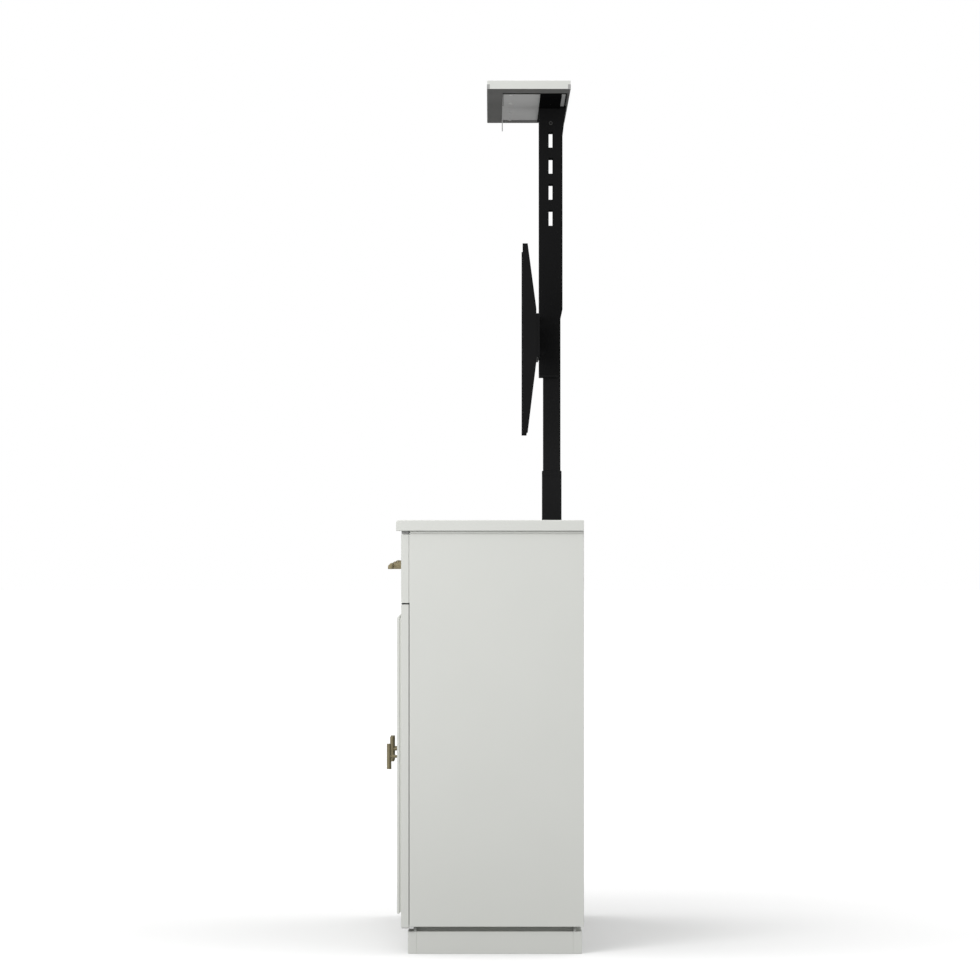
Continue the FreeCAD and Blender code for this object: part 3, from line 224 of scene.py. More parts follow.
class EffectGroups:
    """The surface effects that several finishes share, each built once."""

    def __init__(self) -> None:
        """Builds the four effects."""
        self.drift = self._group("surface_drift", {"Scale": 2.0}, ("Drift",), self._drift)
        self.grain = self._group("fine_grain", {"Scale": 900.0}, ("Grain",), self._grain)
        self.wood = self._group("wood_figure", {"Scale": 14.0}, ("Figure", "Pores"), self._wood)
        self.lines = self._group("brushed_lines", {"Along": 6.0, "Across": 900.0}, ("Lines",), self._lines)

    @staticmethod
    def _group(name: str, inputs: Mapping[str, float], outputs: Sequence[str],
               fill: Callable[[NodeSketch, Sockets], Sockets]) -> bpy.types.NodeTree:
        """Makes one group with named sockets.

        Args:
            name: The group's name.
            inputs: Its number inputs and their defaults.
            outputs: The names of its value outputs.
            fill: Makes the outputs from the inputs.

        Returns:
            The group.
        """
        tree = bpy.data.node_groups.new(name, "ShaderNodeTree")
        for label, value in inputs.items():
            made = tree.interface.new_socket(name=label, in_out="INPUT", socket_type="NodeSocketFloat")
            made.default_value = value
        for label in outputs:
            tree.interface.new_socket(name=label, in_out="OUTPUT", socket_type="NodeSocketFloat")
        sketch = NodeSketch(tree)
        given = sketch.add("NodeGroupInput").outputs
        sketch.add("NodeGroupOutput", fill(sketch, given))
        return tree

    @staticmethod
    def _drift(sketch: NodeSketch, given: Sockets) -> Sockets:
        """A slow cloudiness, as in sprayed or rolled coats."""
        return {"Drift": sketch.ramp(sketch.noise(sketch.place(), given["Scale"], 3.0), (0.3, 0.7))}

    @staticmethod
    def _grain(sketch: NodeSketch, given: Sockets) -> Sockets:
        """A fine pebbled height, as in orange peel and powder coat."""
        return {"Grain": sketch.ramp(sketch.noise(sketch.place(), given["Scale"], 1.5), (0.35, 0.65))}

    @staticmethod
    def _wood(sketch: NodeSketch, given: Sockets) -> Sockets:
        """Long bands along X with short dark pores.

        Args:
            sketch: The group's node sketch.
            given: Its inputs.

        Returns:
            The bands and the pores.
        """
        warp = sketch.noise(sketch.stretched((0.09, 1.0, 1.0)), given["Scale"], 4.0, swirl=0.8)
        band = sketch.maths("PINGPONG", sketch.maths("MULTIPLY", warp, 9.0), 1.0)
        pore = sketch.noise(sketch.stretched((60.0, 900.0, 900.0)), 1.0, 1.0)
        return {"Figure": band, "Pores": sketch.ramp(pore, (0.6, 0.72))}

    @staticmethod
    def _lines(sketch: NodeSketch, given: Sockets) -> Sockets:
        """Fine upright scratches, long in one way and thin in the others.

        Args:
            sketch: The group's node sketch.
            given: Its inputs.

        Returns:
            The scratches.
        """
        size = sketch.add("ShaderNodeCombineXYZ", {"X": given["Across"], "Y": given["Across"],
                                                   "Z": given["Along"]})
        hair = sketch.noise(sketch.stretched(size.outputs[0]), 1.0, 2.0)
        return {"Lines": sketch.ramp(hair, (0.35, 0.65))}


@dataclass(frozen=True)
class Finish:
    """A surface finish: two close colours that drift, a gloss range and a fine relief."""

    name: str
    slot: Slot
    light: Colour
    dark: Colour
    gloss: Pair
    metal: float = 0.0
    specular: float = 0.4
    drift_scale: float = 2.5
    relief_scale: float = 800.0
    relief_depth: float = 0.00004
    relief_strength: float = 0.25

    def pattern(self, sketch: NodeSketch, effects: EffectGroups) -> tuple[Socket, Socket]:
        """Gives the mask that mixes the two colours and the height of the relief.

        Args:
            sketch: The material's node sketch.
            effects: The shared effects.

        Returns:
            The colour mask and the height.
        """
        cloud = sketch.effect(effects.drift, Scale=self.drift_scale)
        grain = sketch.effect(effects.grain, Scale=self.relief_scale)
        return cloud["Drift"], grain["Grain"]

    def material(self, effects: EffectGroups) -> bpy.types.Material:
        """Makes the Blender material.

        Args:
            effects: The shared effects.

        Returns:
            The material.
        """
        made = bpy.data.materials.new(self.name)
        sketch = NodeSketch.fresh(made)
        mask, height = self.pattern(sketch, effects)
        bump = sketch.add("ShaderNodeBump", {"Strength": self.relief_strength, "Distance": self.relief_depth,
                                             "Height": height})
        shader = sketch.add("ShaderNodeBsdfPrincipled", {
            "Base Color": sketch.blend(mask, self.light, self.dark),
            "Roughness": sketch.ramp(mask, wanted=self.gloss),
            "Metallic": self.metal, "Specular IOR Level": self.specular, "Normal": bump.outputs[0]})
        sketch.add("ShaderNodeOutputMaterial", {"Surface": shader.outputs[0]})
        return made


@dataclass(frozen=True)
class WoodFinish(Finish):
    """Clear-lacquered wood with a figure along the board."""

    def pattern(self, sketch: NodeSketch, effects: EffectGroups) -> tuple[Socket, Socket]:
        """The figure mixes the colours and the pores cut the height."""
        figure, pores = sketch.effect(effects.wood, Scale=self.drift_scale)
        return sketch.maths("MAXIMUM", figure, pores), sketch.maths("SUBTRACT", 1.0, pores)


@dataclass(frozen=True)
class BrushedFinish(Finish):
    """Metal with fine lines from brushing or drawing."""

    along: float = 6.0
    line_share: float = 0.35

    def pattern(self, sketch: NodeSketch, effects: EffectGroups) -> tuple[Socket, Socket]:
        """The drift and the lines mix the colours, and the lines make the height.

        Args:
            sketch: The material's node sketch.
            effects: The shared effects.

        Returns:
            The colour mask and the height.
        """
        drift = sketch.effect(effects.drift, Scale=self.drift_scale)["Drift"]
        lines = sketch.effect(effects.lines, Along=self.along, Across=self.relief_scale)["Lines"]
        values = {"Factor": self.line_share, **dict(zip(MIX_NUMBERS, (drift, lines)))}
        mask = sketch.add("ShaderNodeMix", values, {"data_type": "FLOAT"})
        return mask.outputs[0], lines


# The two colours of black steel and of black mouldings.
SOOT = ((0.0095, 0.0095, 0.0098), (0.0075, 0.0075, 0.0078))
PAINT = Finish("satin_paint", Slot.PAINT, (0.722, 0.732, 0.697), (0.691, 0.701, 0.666), (0.42, 0.5),
               relief_scale=700.0, relief_depth=0.00005)
# Painted shade: a darker grey for the plinth's faces in the gap under the carcass, standing in for the shade
# there.
PAINTED_SHADE = Finish("painted_gap_shade", Slot.PAINT, (0.44, 0.447, 0.425), (0.41, 0.417, 0.395), (0.6, 0.7),
               relief_scale=700.0, relief_depth=0.00005)
FACED = Finish("faced_board", Slot.BOARD, (0.73, 0.73, 0.71), (0.70, 0.70, 0.68), (0.55, 0.65),
               relief_scale=1500.0, relief_depth=0.00003)
BIRCH = WoodFinish("clear_birch", Slot.BIRCH, (0.70, 0.55, 0.37), (0.57, 0.42, 0.26), (0.38, 0.55),
                   drift_scale=9.0, relief_depth=0.00006, relief_strength=0.4)
# Painted shade: a dark grey on the lid's down-facing faces, standing in for the shade under the lid.
UNDERSIDE_SHADE = Finish("lid_underside_shade", Slot.PAINT, (0.185, 0.185, 0.180), (0.168, 0.168, 0.163), (0.8, 0.9),
               specular=0.05, relief_scale=900.0)
PRIMER = Finish("grey_primer", Slot.BLACK, (0.66, 0.66, 0.655), (0.61, 0.61, 0.605), (0.7, 0.8),
                specular=0.1, relief_scale=1400.0, relief_depth=0.00003)
POWDER = Finish("powder_coat", Slot.BLACK, *SOOT, (0.6, 0.7),
                specular=0.05, relief_scale=2200.0, relief_depth=0.00006, relief_strength=0.4)
MATT_BLACK = Finish("matt_black", Slot.BLACK, (0.0060, 0.0060, 0.0062), (0.0045, 0.0045, 0.0047),
                    (0.85, 0.95), specular=0.0, relief_scale=2200.0, relief_depth=0.00006,
                    relief_strength=0.4)
SATIN_BLACK = Finish("satin_black", Slot.BLACK, *SOOT, (0.45, 0.55),
                     specular=0.07, relief_scale=1200.0, relief_depth=0.00002)
NYLON = Finish("moulded_nylon", Slot.PLASTIC, *SOOT, (0.5, 0.6),
               specular=0.07, relief_scale=3000.0, relief_depth=0.00003)
RUBBER = Finish("buffer_rubber", Slot.PLASTIC, (0.030, 0.030, 0.031), (0.024, 0.024, 0.025), (0.75, 0.85),
                specular=0.2, relief_scale=1600.0)
CAP = Finish("screw_cap", Slot.PLASTIC, (0.062, 0.062, 0.061), (0.055, 0.055, 0.054), (0.6, 0.7),
             specular=0.2, relief_scale=1600.0, relief_depth=0.00002)
# Painted shade: a mid grey for strips in the gap under the counter and along the lid's lower edges, standing
# in for the shade there.
SHADE_SEAL = Finish("shade_grey_seal", Slot.PLASTIC, (0.42, 0.42, 0.413), (0.38, 0.38, 0.373), (0.75, 0.85),
              specular=0.2, relief_scale=1600.0)
DULL_ZINC = Finish("dull_zinc", Slot.ZINC, (0.75, 0.75, 0.745), (0.70, 0.70, 0.695), (0.6, 0.7),
                   specular=0.1, relief_scale=1800.0, relief_depth=0.00002)
BRASS = BrushedFinish("antique_brass", Slot.BRASS, (0.240, 0.205, 0.125), (0.155, 0.135, 0.085), (0.32, 0.46),
                      metal=1.0, drift_scale=60.0, relief_scale=1600.0, relief_depth=0.00003, along=25.0)
ZINC = BrushedFinish("bright_zinc", Slot.ZINC, (0.66, 0.67, 0.69), (0.52, 0.53, 0.55), (0.22, 0.38),
                     metal=1.0, drift_scale=90.0, relief_scale=1200.0, relief_depth=0.00002, along=8.0)


# ---------------- the bench that makes and places pieces


class Bench:
    """Makes pieces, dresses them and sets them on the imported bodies."""

    def __init__(self) -> None:
        """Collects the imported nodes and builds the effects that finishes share."""
        self.nodes: dict[str, bpy.types.Object] = frame["nodes"]
        self.effects = EffectGroups()
        self.mixed: dict[str, bpy.types.Material] = {}
        self.made: list[str] = []

    def material(self, finish: Finish) -> bpy.types.Material:
        """The material of a finish, mixed once."""
        if finish.name not in self.mixed:
            self.mixed[finish.name] = finish.material(self.effects)
        return self.mixed[finish.name]

    def piece(self, name: str, work: MeshWork, finish: Finish, body: str = "cabinet",
              sharp: float = 35.0) -> bpy.types.Object:
        """Turns finished mesh work into a dressed piece that rides on a body.

        Args:
            name: The piece's name.
            work: The mesh work, which is used up.
            finish: Its finish.
            body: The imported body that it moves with.
            sharp: The angle in degrees above which an edge stays crisp.

        Returns:
            The piece.
        """
        for face in work.faces:
            face.smooth = True
        mesh = bpy.data.meshes.new(name)
        work.to_mesh(mesh)
        work.free()
        mesh.set_sharp_from_angle(angle=math.radians(sharp))
        mesh.materials.append(self.material(finish))
        item = linked(name, mesh)
        weigh = item.modifiers.new("even_shading", "WEIGHTED_NORMAL")
        weigh.keep_sharp = True
        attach(item, body)
        self.made.append(name)
        return item

    def soften(self, finish: Finish, *nodes: str, width: float = 0.0005, segments: int = 2,
               other: Finish | None = None, where: FaceTest | None = None,
               parting: float | None = None) -> None:
        """Replaces nodes by merged copies with their crisp edges rounded over.

        Args:
            finish: Their finish.
            nodes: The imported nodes.
            width: How far the rounding reaches, in metres.
            segments: How many faces make the rounding.
            other: A second finish for some of their faces.
            where: Says from a face's middle and normal whether it has the second finish.
            parting: Height at which upright faces are parted, so that each part can have its finish.
        """
        for node in nodes:
            work = bmesh.new()
            work.from_mesh(self.nodes[node].data)
            bmesh.ops.remove_doubles(work, verts=work.verts, dist=1e-6)
            bmesh.ops.dissolve_limit(work, angle_limit=FLAT, verts=work.verts, edges=work.edges)
            if parting is not None:
                cut(work, parting)
            crisp = [edge for edge in work.edges if edge.is_manifold and edge.calc_face_angle(0.0) > CRISP]
            rounded(work, crisp, width, segments)
            for face in work.faces:
                face.material_index = int(where is not None and where(face.calc_center_median(), face.normal))
            item = self.piece(f"{node}_finished", work, finish, self.nodes[node]["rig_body"])
            if other is not None:
                item.data.materials.append(self.material(other))
            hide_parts(node)

    def screws(self, name: str, places: Sequence[Matrix], size: Screw, finish: Finish = ZINC,
               body: str = "cabinet") -> None:
        """Sets screw heads of one size at several places."""
        self.piece(name, gathered([socket_head(*size.value)], places), finish, body)


# ---------------- small makers


def linked(name: str, data: bpy.types.ID) -> bpy.types.Object:
    """Makes an object and links it to the scene.

    Args:
        name: The object's name.
        data: Its mesh, lamp or camera.

    Returns:
        The object.
    """
    item = bpy.data.objects.new(name, data)
    bpy.context.scene.collection.objects.link(item)
    return item


def spread(start: float, end: float, shares: Iterable[float]) -> list[float]:
    """The levels at some shares of the way from start to end."""
    return [start + (end - start) * share for share in shares]


def ends(low: float, high: float, inset: float) -> Pair:
    """The two levels that lie an inset inside two others."""
    return low + inset, high - inset


def within(items: Iterable, verts: Sequence[Vert]) -> list:
    """Those edges or faces that have all their corners among some vertices."""
    return [item for item in items if all(vert in verts for vert in item.verts)]


def of_kind(items: Iterable, kind: type) -> list:
    """Those of an operator's results that are of one kind."""
    return [item for item in items if isinstance(item, kind)]


def rounded(work: MeshWork, edges: Sequence[Edge], width: float, segments: int = 2) -> None:
    """Rounds edges over by a width in metres, with some faces to each."""
    bmesh.ops.bevel(work, geom=edges, offset=width, offset_type="OFFSET", affect="EDGES", segments=segments,
                    profile=0.5, clamp_overlap=True, material=-1)


def cut(work: MeshWork, level: float, dist: float = 1e-6, **clear: bool) -> None:
    """Cuts through all faces at a height, and clears what lies below or above where told."""
    bmesh.ops.bisect_plane(work, geom=[*work.verts, *work.edges, *work.faces], dist=dist,
                           plane_co=(0, 0, level), plane_no=(0, 0, 1), **clear)


def outline(work: MeshWork, profile: Iterable[Pair]) -> list:
    """Draws a line through corners given by radius and height, and gives its corners and edges."""
    corners = [work.verts.new((radius, 0.0, height)) for radius, height in profile]
    return corners + [work.edges.new(pair) for pair in zip(corners, corners[1:])]


def turned(profile: Iterable[Pair], steps: int = 32) -> MeshWork:
    """Turns a profile about Z, as on a lathe.

    Args:
        profile: Radius and height of each corner, from one end to the other.
        steps: How many facets go round.

    Returns:
        The closed mesh work.
    """
    work = bmesh.new()
    bmesh.ops.spin(work, geom=outline(work, profile), cent=(0, 0, 0), axis=(0, 0, 1), dvec=(0, 0, 0),
                   angle=math.tau, steps=steps, use_merge=True)
    bmesh.ops.remove_doubles(work, verts=work.verts, dist=1e-7)
    bmesh.ops.recalc_face_normals(work, faces=work.faces)
    return work


def block(low: Sequence[float], high: Sequence[float], width: float = 0.0003, segments: int = 2) -> MeshWork:
    """A block between two corners with its edges rounded over.

    Args:
        low: Its lowest corner.
        high: Its highest corner.
        width: How far the rounding reaches.
        segments: How many faces make the rounding.

    Returns:
        The mesh work.
    """
    work = bmesh.new()
    size = Vector(high) - Vector(low)
    middle = (Vector(high) + Vector(low)) / 2
    place = Matrix.Translation(middle) @ Matrix.Diagonal((*size, 1.0))
    bmesh.ops.create_cube(work, size=1.0, matrix=place)
    rounded(work, work.edges[:], width, segments)
    return work


def socket_head(radius: float, height: float, socket: float) -> MeshWork:
    """A round screw head with a six-sided socket, standing on Z = 0.

    Args:
        radius: The head's radius.
        height: The head's height.
        socket: The socket's radius over its corners.

    Returns:
        The mesh work.
    """
    work = bmesh.new()
    base = bmesh.ops.create_circle(work, cap_ends=True, radius=radius, segments=24)["verts"]
    rim = within(work.edges, base)
    for rise, shrink in ((height * 0.7, 1.0), (height * 0.3, 0.86)):
        grown = bmesh.ops.extrude_edge_only(work, edges=rim)["geom"]
        verts, rim = of_kind(grown, Vert), of_kind(grown, Edge)
        bmesh.ops.translate(work, vec=(0, 0, rise), verts=verts)
        bmesh.ops.scale(work, vec=(shrink, shrink, 1.0), verts=verts)
    hexagon = bmesh.ops.create_circle(work, cap_ends=False, radius=socket, segments=6,
                                      matrix=Matrix.Translation((0, 0, height)))["verts"]
    inner = within(work.edges, hexagon)
    bmesh.ops.bridge_loops(work, edges=rim + inner)
    sunk = bmesh.ops.extrude_edge_only(work, edges=inner)["geom"]
    bmesh.ops.translate(work, vec=(0, 0, -height * 0.6), verts=of_kind(sunk, Vert))
    bmesh.ops.edgeloop_fill(work, edges=of_kind(sunk, Edge))
    bmesh.ops.recalc_face_normals(work, faces=work.faces)
    return work


def hex_bolt(radius: float, height: float) -> MeshWork:
    """A six-sided bolt head on its washer, standing on Z = 0.

    Args:
        radius: The head's radius over its corners.
        height: The height of head and washer together.

    Returns:
        The mesh work.
    """
    washer = height * 0.25
    work = turned([(0.0, 0.0), (radius * 1.7, 0.0), (radius * 1.7, washer * 0.7), (radius * 1.62, washer),
                   (0.0, washer)])
    head = bmesh.ops.create_circle(work, cap_ends=True, radius=radius, segments=6,
                                   matrix=Matrix.Translation((0, 0, washer * 0.9)))["verts"]
    grown = bmesh.ops.extrude_face_region(work, geom=within(work.faces, head))["geom"]
    top = of_kind(grown, Vert)
    bmesh.ops.translate(work, vec=(0, 0, height - washer * 0.9), verts=top)
    rounded(work, within(work.edges, top), radius * 0.14)
    bmesh.ops.recalc_face_normals(work, faces=work.faces)
    return work


def gathered(parts: Iterable[MeshWork], places: Sequence[Matrix] = (Matrix.Identity(4),)) -> MeshWork:
    """Gathers copies of small parts into one mesh work.

    Args:
        parts: The mesh works to copy, which are used up.
        places: Where a copy of each goes, or nothing for where it stands.

    Returns:
        All copies as one mesh work.
    """
    whole = bmesh.new()
    for part in parts:
        for place in places:
            copy = bpy.data.meshes.new("copy")
            part.to_mesh(copy)
            copy.transform(place)
            whole.from_mesh(copy)
            bpy.data.meshes.remove(copy)
        part.free()
    return whole


def grey(level: float) -> tuple[float, float, float, float]:
    """An even grey, opaque."""
    return (level, level, level, 1.0)


def at(x: float, y: float, z: float, way: Axis = Axis.UP) -> Matrix:
    """A place and the way that the part points there."""
    return Matrix.Translation((x, y, z)) @ way.turn()


# ---------------- sub-assemblies


@dataclass
class Carcass:
    """Plinth, end panels, counter, partitions, shelves and back."""

    bench: Bench
    edge: float = 0.0006
    neck_height: float = 0.011
    bead_reach: float = 0.0025
    bead_height: float = 0.0056
    bead_setback: float = 0.001
    screw_inset: float = 0.009
    screw_sink: float = 0.0002
    screw_rows: Levels = (0.0, 0.25, 0.5, 0.75, 1.0)
    screw_columns: Levels = (0.2, 0.4, 0.6, 0.8)
    cleat_width: float = 0.011
    cleat_drop: float = 0.010
    cleat_shares: Pair = (0.3, 0.8)
    port_radius: float = 0.030
    port_level: float = 0.160
    port_columns: Pair = (-0.300, 0.300)
    grommet_wall: float = 0.0022
    grommet_proud: float = 0.001
    painted: tuple[str, ...] = ("side_panel_left", "side_panel_right", "countertop", "back_panel")
    faced: tuple[str, ...] = ("plinth_brace", "bottom_panel", "divider_left", "divider_right", "mid_deck",
                              "well_panel", "sub_top", "rear_rail", "shelf_left", "shelf_centre",
                              "shelf_right", "shelf_cleats")
    plinth_boards: tuple[str, ...] = ("plinth_front", "plinth_rear", "plinth_end_left", "plinth_end_right")

    def build(self) -> None:
        """Builds the boards, then what is fixed to them."""
        self.bench.soften(PAINT, *self.painted, width=self.edge)
        self.bench.soften(FACED, *self.faced, width=self.edge / 2)
        self.plinth()
        self.beads()
        self.back_screws()
        self.cleat_screws()
        self.grommets()

    def plinth(self) -> None:
        """The four plinth boards, with painted shade on the faces in the gap: a darker grey that deepens
        their shadow line.
        """
        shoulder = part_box("plinth_front")[1].z - self.neck_height

        def in_gap(middle: Vector, normal: Vector) -> bool:
            """Says whether a face stands in the gap."""
            return middle.z > shoulder and abs(normal.z) < UPRIGHT

        # The faces in the gap get the darker painted shade.
        self.bench.soften(PAINT, *self.plinth_boards, width=self.edge, other=PAINTED_SHADE, where=in_gap,
                          parting=shoulder)

    def beads(self) -> None:
        """A small painted bead between the counter and each end panel."""
        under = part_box("countertop")[0].z
        strips = []
        for side in ("left", "right"):
            low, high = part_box(f"side_panel_{side}")
            face = low.x if side == "left" else high.x
            strips.append(block((face - self.bead_reach, low.y + self.bead_setback, under - self.bead_height),
                                (face + self.bead_reach, high.y - self.bead_setback, under),
                                width=0.0010, segments=3))
        self.bench.piece("counter_beads", gathered(strips), PAINT)

    def back_screws(self) -> None:
        """Screws round the edge of the back panel."""
        low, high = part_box("back_panel")
        seat, inset = high.y - self.screw_sink, self.screw_inset
        columns, rows = ends(low.x, high.x, inset), ends(low.z, high.z, inset)
        levels, widths = spread(*rows, self.screw_rows), spread(low.x, high.x, self.screw_columns)
        places = [at(x, seat, z, Axis.REAR) for z in levels for x in columns]
        places += [at(x, seat, z, Axis.REAR) for x in widths for z in rows]
        self.bench.screws("back_panel_screws", places, Screw.PANEL)

    def cleat_screws(self) -> None:
        """Two screws through each shelf cleat."""
        places = []
        for bay in BAYS:
            low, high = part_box(f"shelf_{bay}")
            for x, way in zip(ends(low.x, high.x, self.cleat_width), (Axis.RIGHT, Axis.LEFT)):
                places += [at(x, y, low.z - self.cleat_drop, way)
                           for y in spread(low.y, high.y, self.cleat_shares)]
        self.bench.screws("shelf_cleat_screws", places, Screw.CLEAT)

    def grommets(self) -> None:
        """A moulded ring in each cable port."""
        low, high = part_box("back_panel")
        radius, bore = self.port_radius, self.port_radius - self.grommet_wall
        rear, front = -self.grommet_proud, high.y - low.y + self.grommet_proud
        profile = [(bore, rear), (radius + 0.003, rear), (radius + 0.004, -0.0003), (radius + 0.0035, 0.0),
                   (radius - 0.0001, 0.0), (radius - 0.0001, front), (bore, front), (bore, rear)]
        places = [at(x, high.y, self.port_level, Axis.FRONT) for x in self.port_columns]
        self.bench.piece("cable_grommets", gathered([turned(profile, steps=48)], places), NYLON)


@dataclass
class Fronts:
    """Doors with raised fields and flat drawer fronts, with their buffers and catches."""

    bench: Bench
    edge: float = 0.0004
    buffer_radius: float = 0.004
    buffer_inset: float = 0.013
    buffer_height: float = 0.0011
    buffer_rise: float = 0.035
    strip_clear: float = 0.0007
    strip_setback: float = 0.0008
    seal_inset: float = 0.0045
    seal_reach: float = 0.003
    deck_strip_inset: float = 0.020
    catch_inset: float = 0.060
    catch_reach: float = 0.021
    plate_reach: float = 0.018
    plate_sheet: float = 0.0008

    def build(self) -> None:
        """Builds each bay's door and drawer front, then the strips behind the gaps."""
        for bay in BAYS:
            self.bench.soften(PAINT, f"door_{bay}", f"drawer_front_{bay}", width=self.edge)
            self.buffers(bay)
            self.catch(bay)
        self.strips()

    @staticmethod
    def free_end(bay: str, inset: float) -> float:
        """The place at an inset from the edge of a door that swings out."""
        low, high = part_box(f"door_{bay}")
        return high.x - inset if bay == "left" else low.x + inset

    def strips(self) -> None:
        """Strips in the gaps above the drawers and the doors, grey and black as painted shade there, and pale
        seals beside the drawers.
        """
        left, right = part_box("drawer_front_left"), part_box("drawer_front_right")
        face, back, top = left[0].y + self.strip_setback, left[1].y, left[1].z
        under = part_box("countertop")[0].z
        # This grey strip is painted shade in the gap between the counter and the drawer fronts.
        work = block((left[0].x, face, top + self.strip_clear), (right[1].x, back, under))
        self.bench.piece("counter_shade_strip", work, SHADE_SEAL)
        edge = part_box("side_panel_right")[0].y
        seals = [block((x - self.seal_reach, back + 0.0002, left[0].z + 0.001),
                       (x + self.seal_reach, edge, top - 0.001), width=0.0002)
                 for x in ends(left[0].x, right[1].x, self.seal_inset)]
        self.bench.piece("drawer_side_seals", gathered(seals), FACED)
        low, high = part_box("door_left")[1].z + self.strip_clear, left[0].z - self.strip_clear
        reach = left[0].x + self.deck_strip_inset
        work = block((reach, face, low), (-reach - 0.001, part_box("mid_deck")[0].y, high))
        # Painted shade: a black strip behind the gap between the drawers and the doors, standing in for the
        # shade in that gap.
        self.bench.piece("deck_shade_strip", work, RUBBER)

    def catch(self, bay: str) -> None:
        """A magnetic catch under the deck and its plate on the door.

        Args:
            bay: The bay's name.
        """
        free, back = self.free_end(bay, self.catch_inset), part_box(f"door_{bay}")[1].y
        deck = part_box("mid_deck")[0]
        case = block((free - self.catch_reach, deck.y + 0.002, deck.z - 0.013),
                     (free + self.catch_reach, deck.y + 0.018, deck.z), width=0.001)
        self.bench.piece(f"catch_{bay}", case, NYLON)
        plate = block((free - self.plate_reach, back, deck.z - 0.0125),
                      (free + self.plate_reach, back + self.plate_sheet, deck.z - 0.0015), width=0.0002)
        self.bench.piece(f"catch_plate_{bay}", plate, ZINC, f"door_{bay}_body")

    def buffers(self, bay: str) -> None:
        """Soft buffers behind the free corners of a door.

        Args:
            bay: The bay's name.
        """
        low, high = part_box(f"door_{bay}")
        radius = self.buffer_radius
        profile = [(0.0, 0.0), (radius, 0.0), (radius, 0.0006), (radius * 0.7, 0.0010),
                   (0.0, self.buffer_height)]
        places = [at(self.free_end(bay, self.buffer_inset), high.y, z, Axis.REAR)
                  for z in ends(low.z, high.z, self.buffer_rise)]
        work = gathered([turned(profile, steps=20)], places)
        self.bench.piece(f"door_buffers_{bay}", work, RUBBER, f"door_{bay}_body")


@dataclass
class Handles:
    """Bar pulls on the drawers and upright knobs on the doors."""

    bench: Bench
    edge: float = 0.0006

    def build(self) -> None:
        """Finishes every pull and knob."""
        for bay in BAYS:
            self.bench.soften(BRASS, f"drawer_pull_{bay}", f"door_knob_{bay}", width=self.edge)


@dataclass
class Drawers:
    """Birch boxes on steel slides."""

    bench: Bench
    front_board: float = 0.012
    front_shares: Pair = (0.2, 0.8)
    slide_width: float = 0.0125
    slide_sheet: float = 0.0014
    slide_edge: float = 0.00025
    screw_shares: Triple = (0.12, 0.5, 0.88)

    def build(self) -> None:
        """Builds each drawer's box, slides and screws."""
        for bay in BAYS:
            self.bench.soften(BIRCH, f"drawer_box_{bay}", width=0.0004)
            self.bench.soften(ZINC, f"drawer_slides_{bay}", width=self.slide_edge, segments=1)
            self.front_screws(bay)
        self.bench.soften(ZINC, "cabinet_slides", width=self.slide_edge, segments=1)
        self.slide_screws()

    def front_screws(self, bay: str) -> None:
        """Screws from inside the box into the drawer front.

        Args:
            bay: The bay's name.
        """
        low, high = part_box(f"drawer_box_{bay}")
        places = [at(x, low.y + self.front_board, z, Axis.REAR)
                  for x in spread(low.x, high.x, self.front_shares) for z in (low.z + 0.035, high.z - 0.022)]
        self.bench.screws(f"drawer_front_screws_{bay}", places, Screw.FRONT,
                          body=f"drawer_{bay}_body")

    def slide_screws(self) -> None:
        """Screws that hold the outer slide members to the boards."""
        low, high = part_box("cabinet_slides")
        level, seat = (low.z + high.z) / 2, self.slide_sheet - self.slide_width
        places = []
        for bay in BAYS:
            box_low, box_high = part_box(f"drawer_box_{bay}")
            for x, way in zip(ends(box_low.x, box_high.x, seat), (Axis.RIGHT, Axis.LEFT)):
                places += [at(x, y, level, way) for y in spread(low.y, high.y, self.screw_shares)]
        self.bench.screws("slide_screws", places, Screw.SLIDE)


@dataclass
class PivotLeaves:
    """The flat leaves and pins that the doors turn on."""

    bench: Bench

    def build(self) -> None:
        """Finishes the upper leaves black, as painted shade in the gap between drawers and doors, and the
        lower ones in dull zinc.
        """
        middle_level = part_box("shelf_cleats")[0].z
        # The black of the upper leaves is painted shade in the gap under the drawers.
        self.bench.soften(POWDER, "pivot_leaves", width=0.0002, segments=1, other=DULL_ZINC,
                          where=lambda middle, normal: middle.z < middle_level)


@dataclass
class Mast:
    """Three nested columns with their end caps, the drive screw and its nut."""

    bench: Bench
    pitch: float = 0.008
    thread_share: float = 0.28
    turn_steps: int = 16

    def build(self) -> None:
        """Builds the columns and the drive."""
        self.bench.soften(SATIN_BLACK, "outer_column", "mid_column", "inner_column")
        self.bench.soften(NYLON, "outer_collar", "mid_collar", width=0.0004)
        self.bench.soften(NYLON, "drive_nut")
        self.screw()

    def screw(self) -> None:
        """The drive screw, with a trapezoid thread cut square at both ends."""
        low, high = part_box("lead_screw")
        crest = (high.x - low.x) / 2
        root = crest - self.pitch * self.thread_share
        turns = math.ceil((high.z - low.z) / self.pitch) + 2
        work = bmesh.new()
        profile = ((root, 0.0), (root, 0.32), (crest, 0.46), (crest, 0.86), (root, 1.0))
        bmesh.ops.spin(work, geom=outline(work, [(radius, share * self.pitch) for radius, share in profile]),
                       cent=(0, 0, 0), axis=(0, 0, 1), dvec=(0, 0, self.pitch / self.turn_steps),
                       angle=math.tau * turns, steps=turns * self.turn_steps, use_merge=False)
        bmesh.ops.remove_doubles(work, verts=work.verts, dist=1e-5)
        start = (0, (low.y + high.y) / 2, low.z - self.pitch * 1.5)
        bmesh.ops.translate(work, vec=start, verts=work.verts)
        for level, below in ((low.z, True), (high.z, False)):
            cut(work, level, dist=1e-7, clear_inner=below, clear_outer=not below)
            rim = [edge for edge in work.edges if edge.is_boundary
                   and all(abs(vert.co.z - level) < 1e-5 for vert in edge.verts)]
            bmesh.ops.edgeloop_fill(work, edges=rim)
        bmesh.ops.recalc_face_normals(work, faces=work.faces)
        item = self.bench.piece("lead_screw_thread", work, ZINC, sharp=30.0)
        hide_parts("lead_screw")


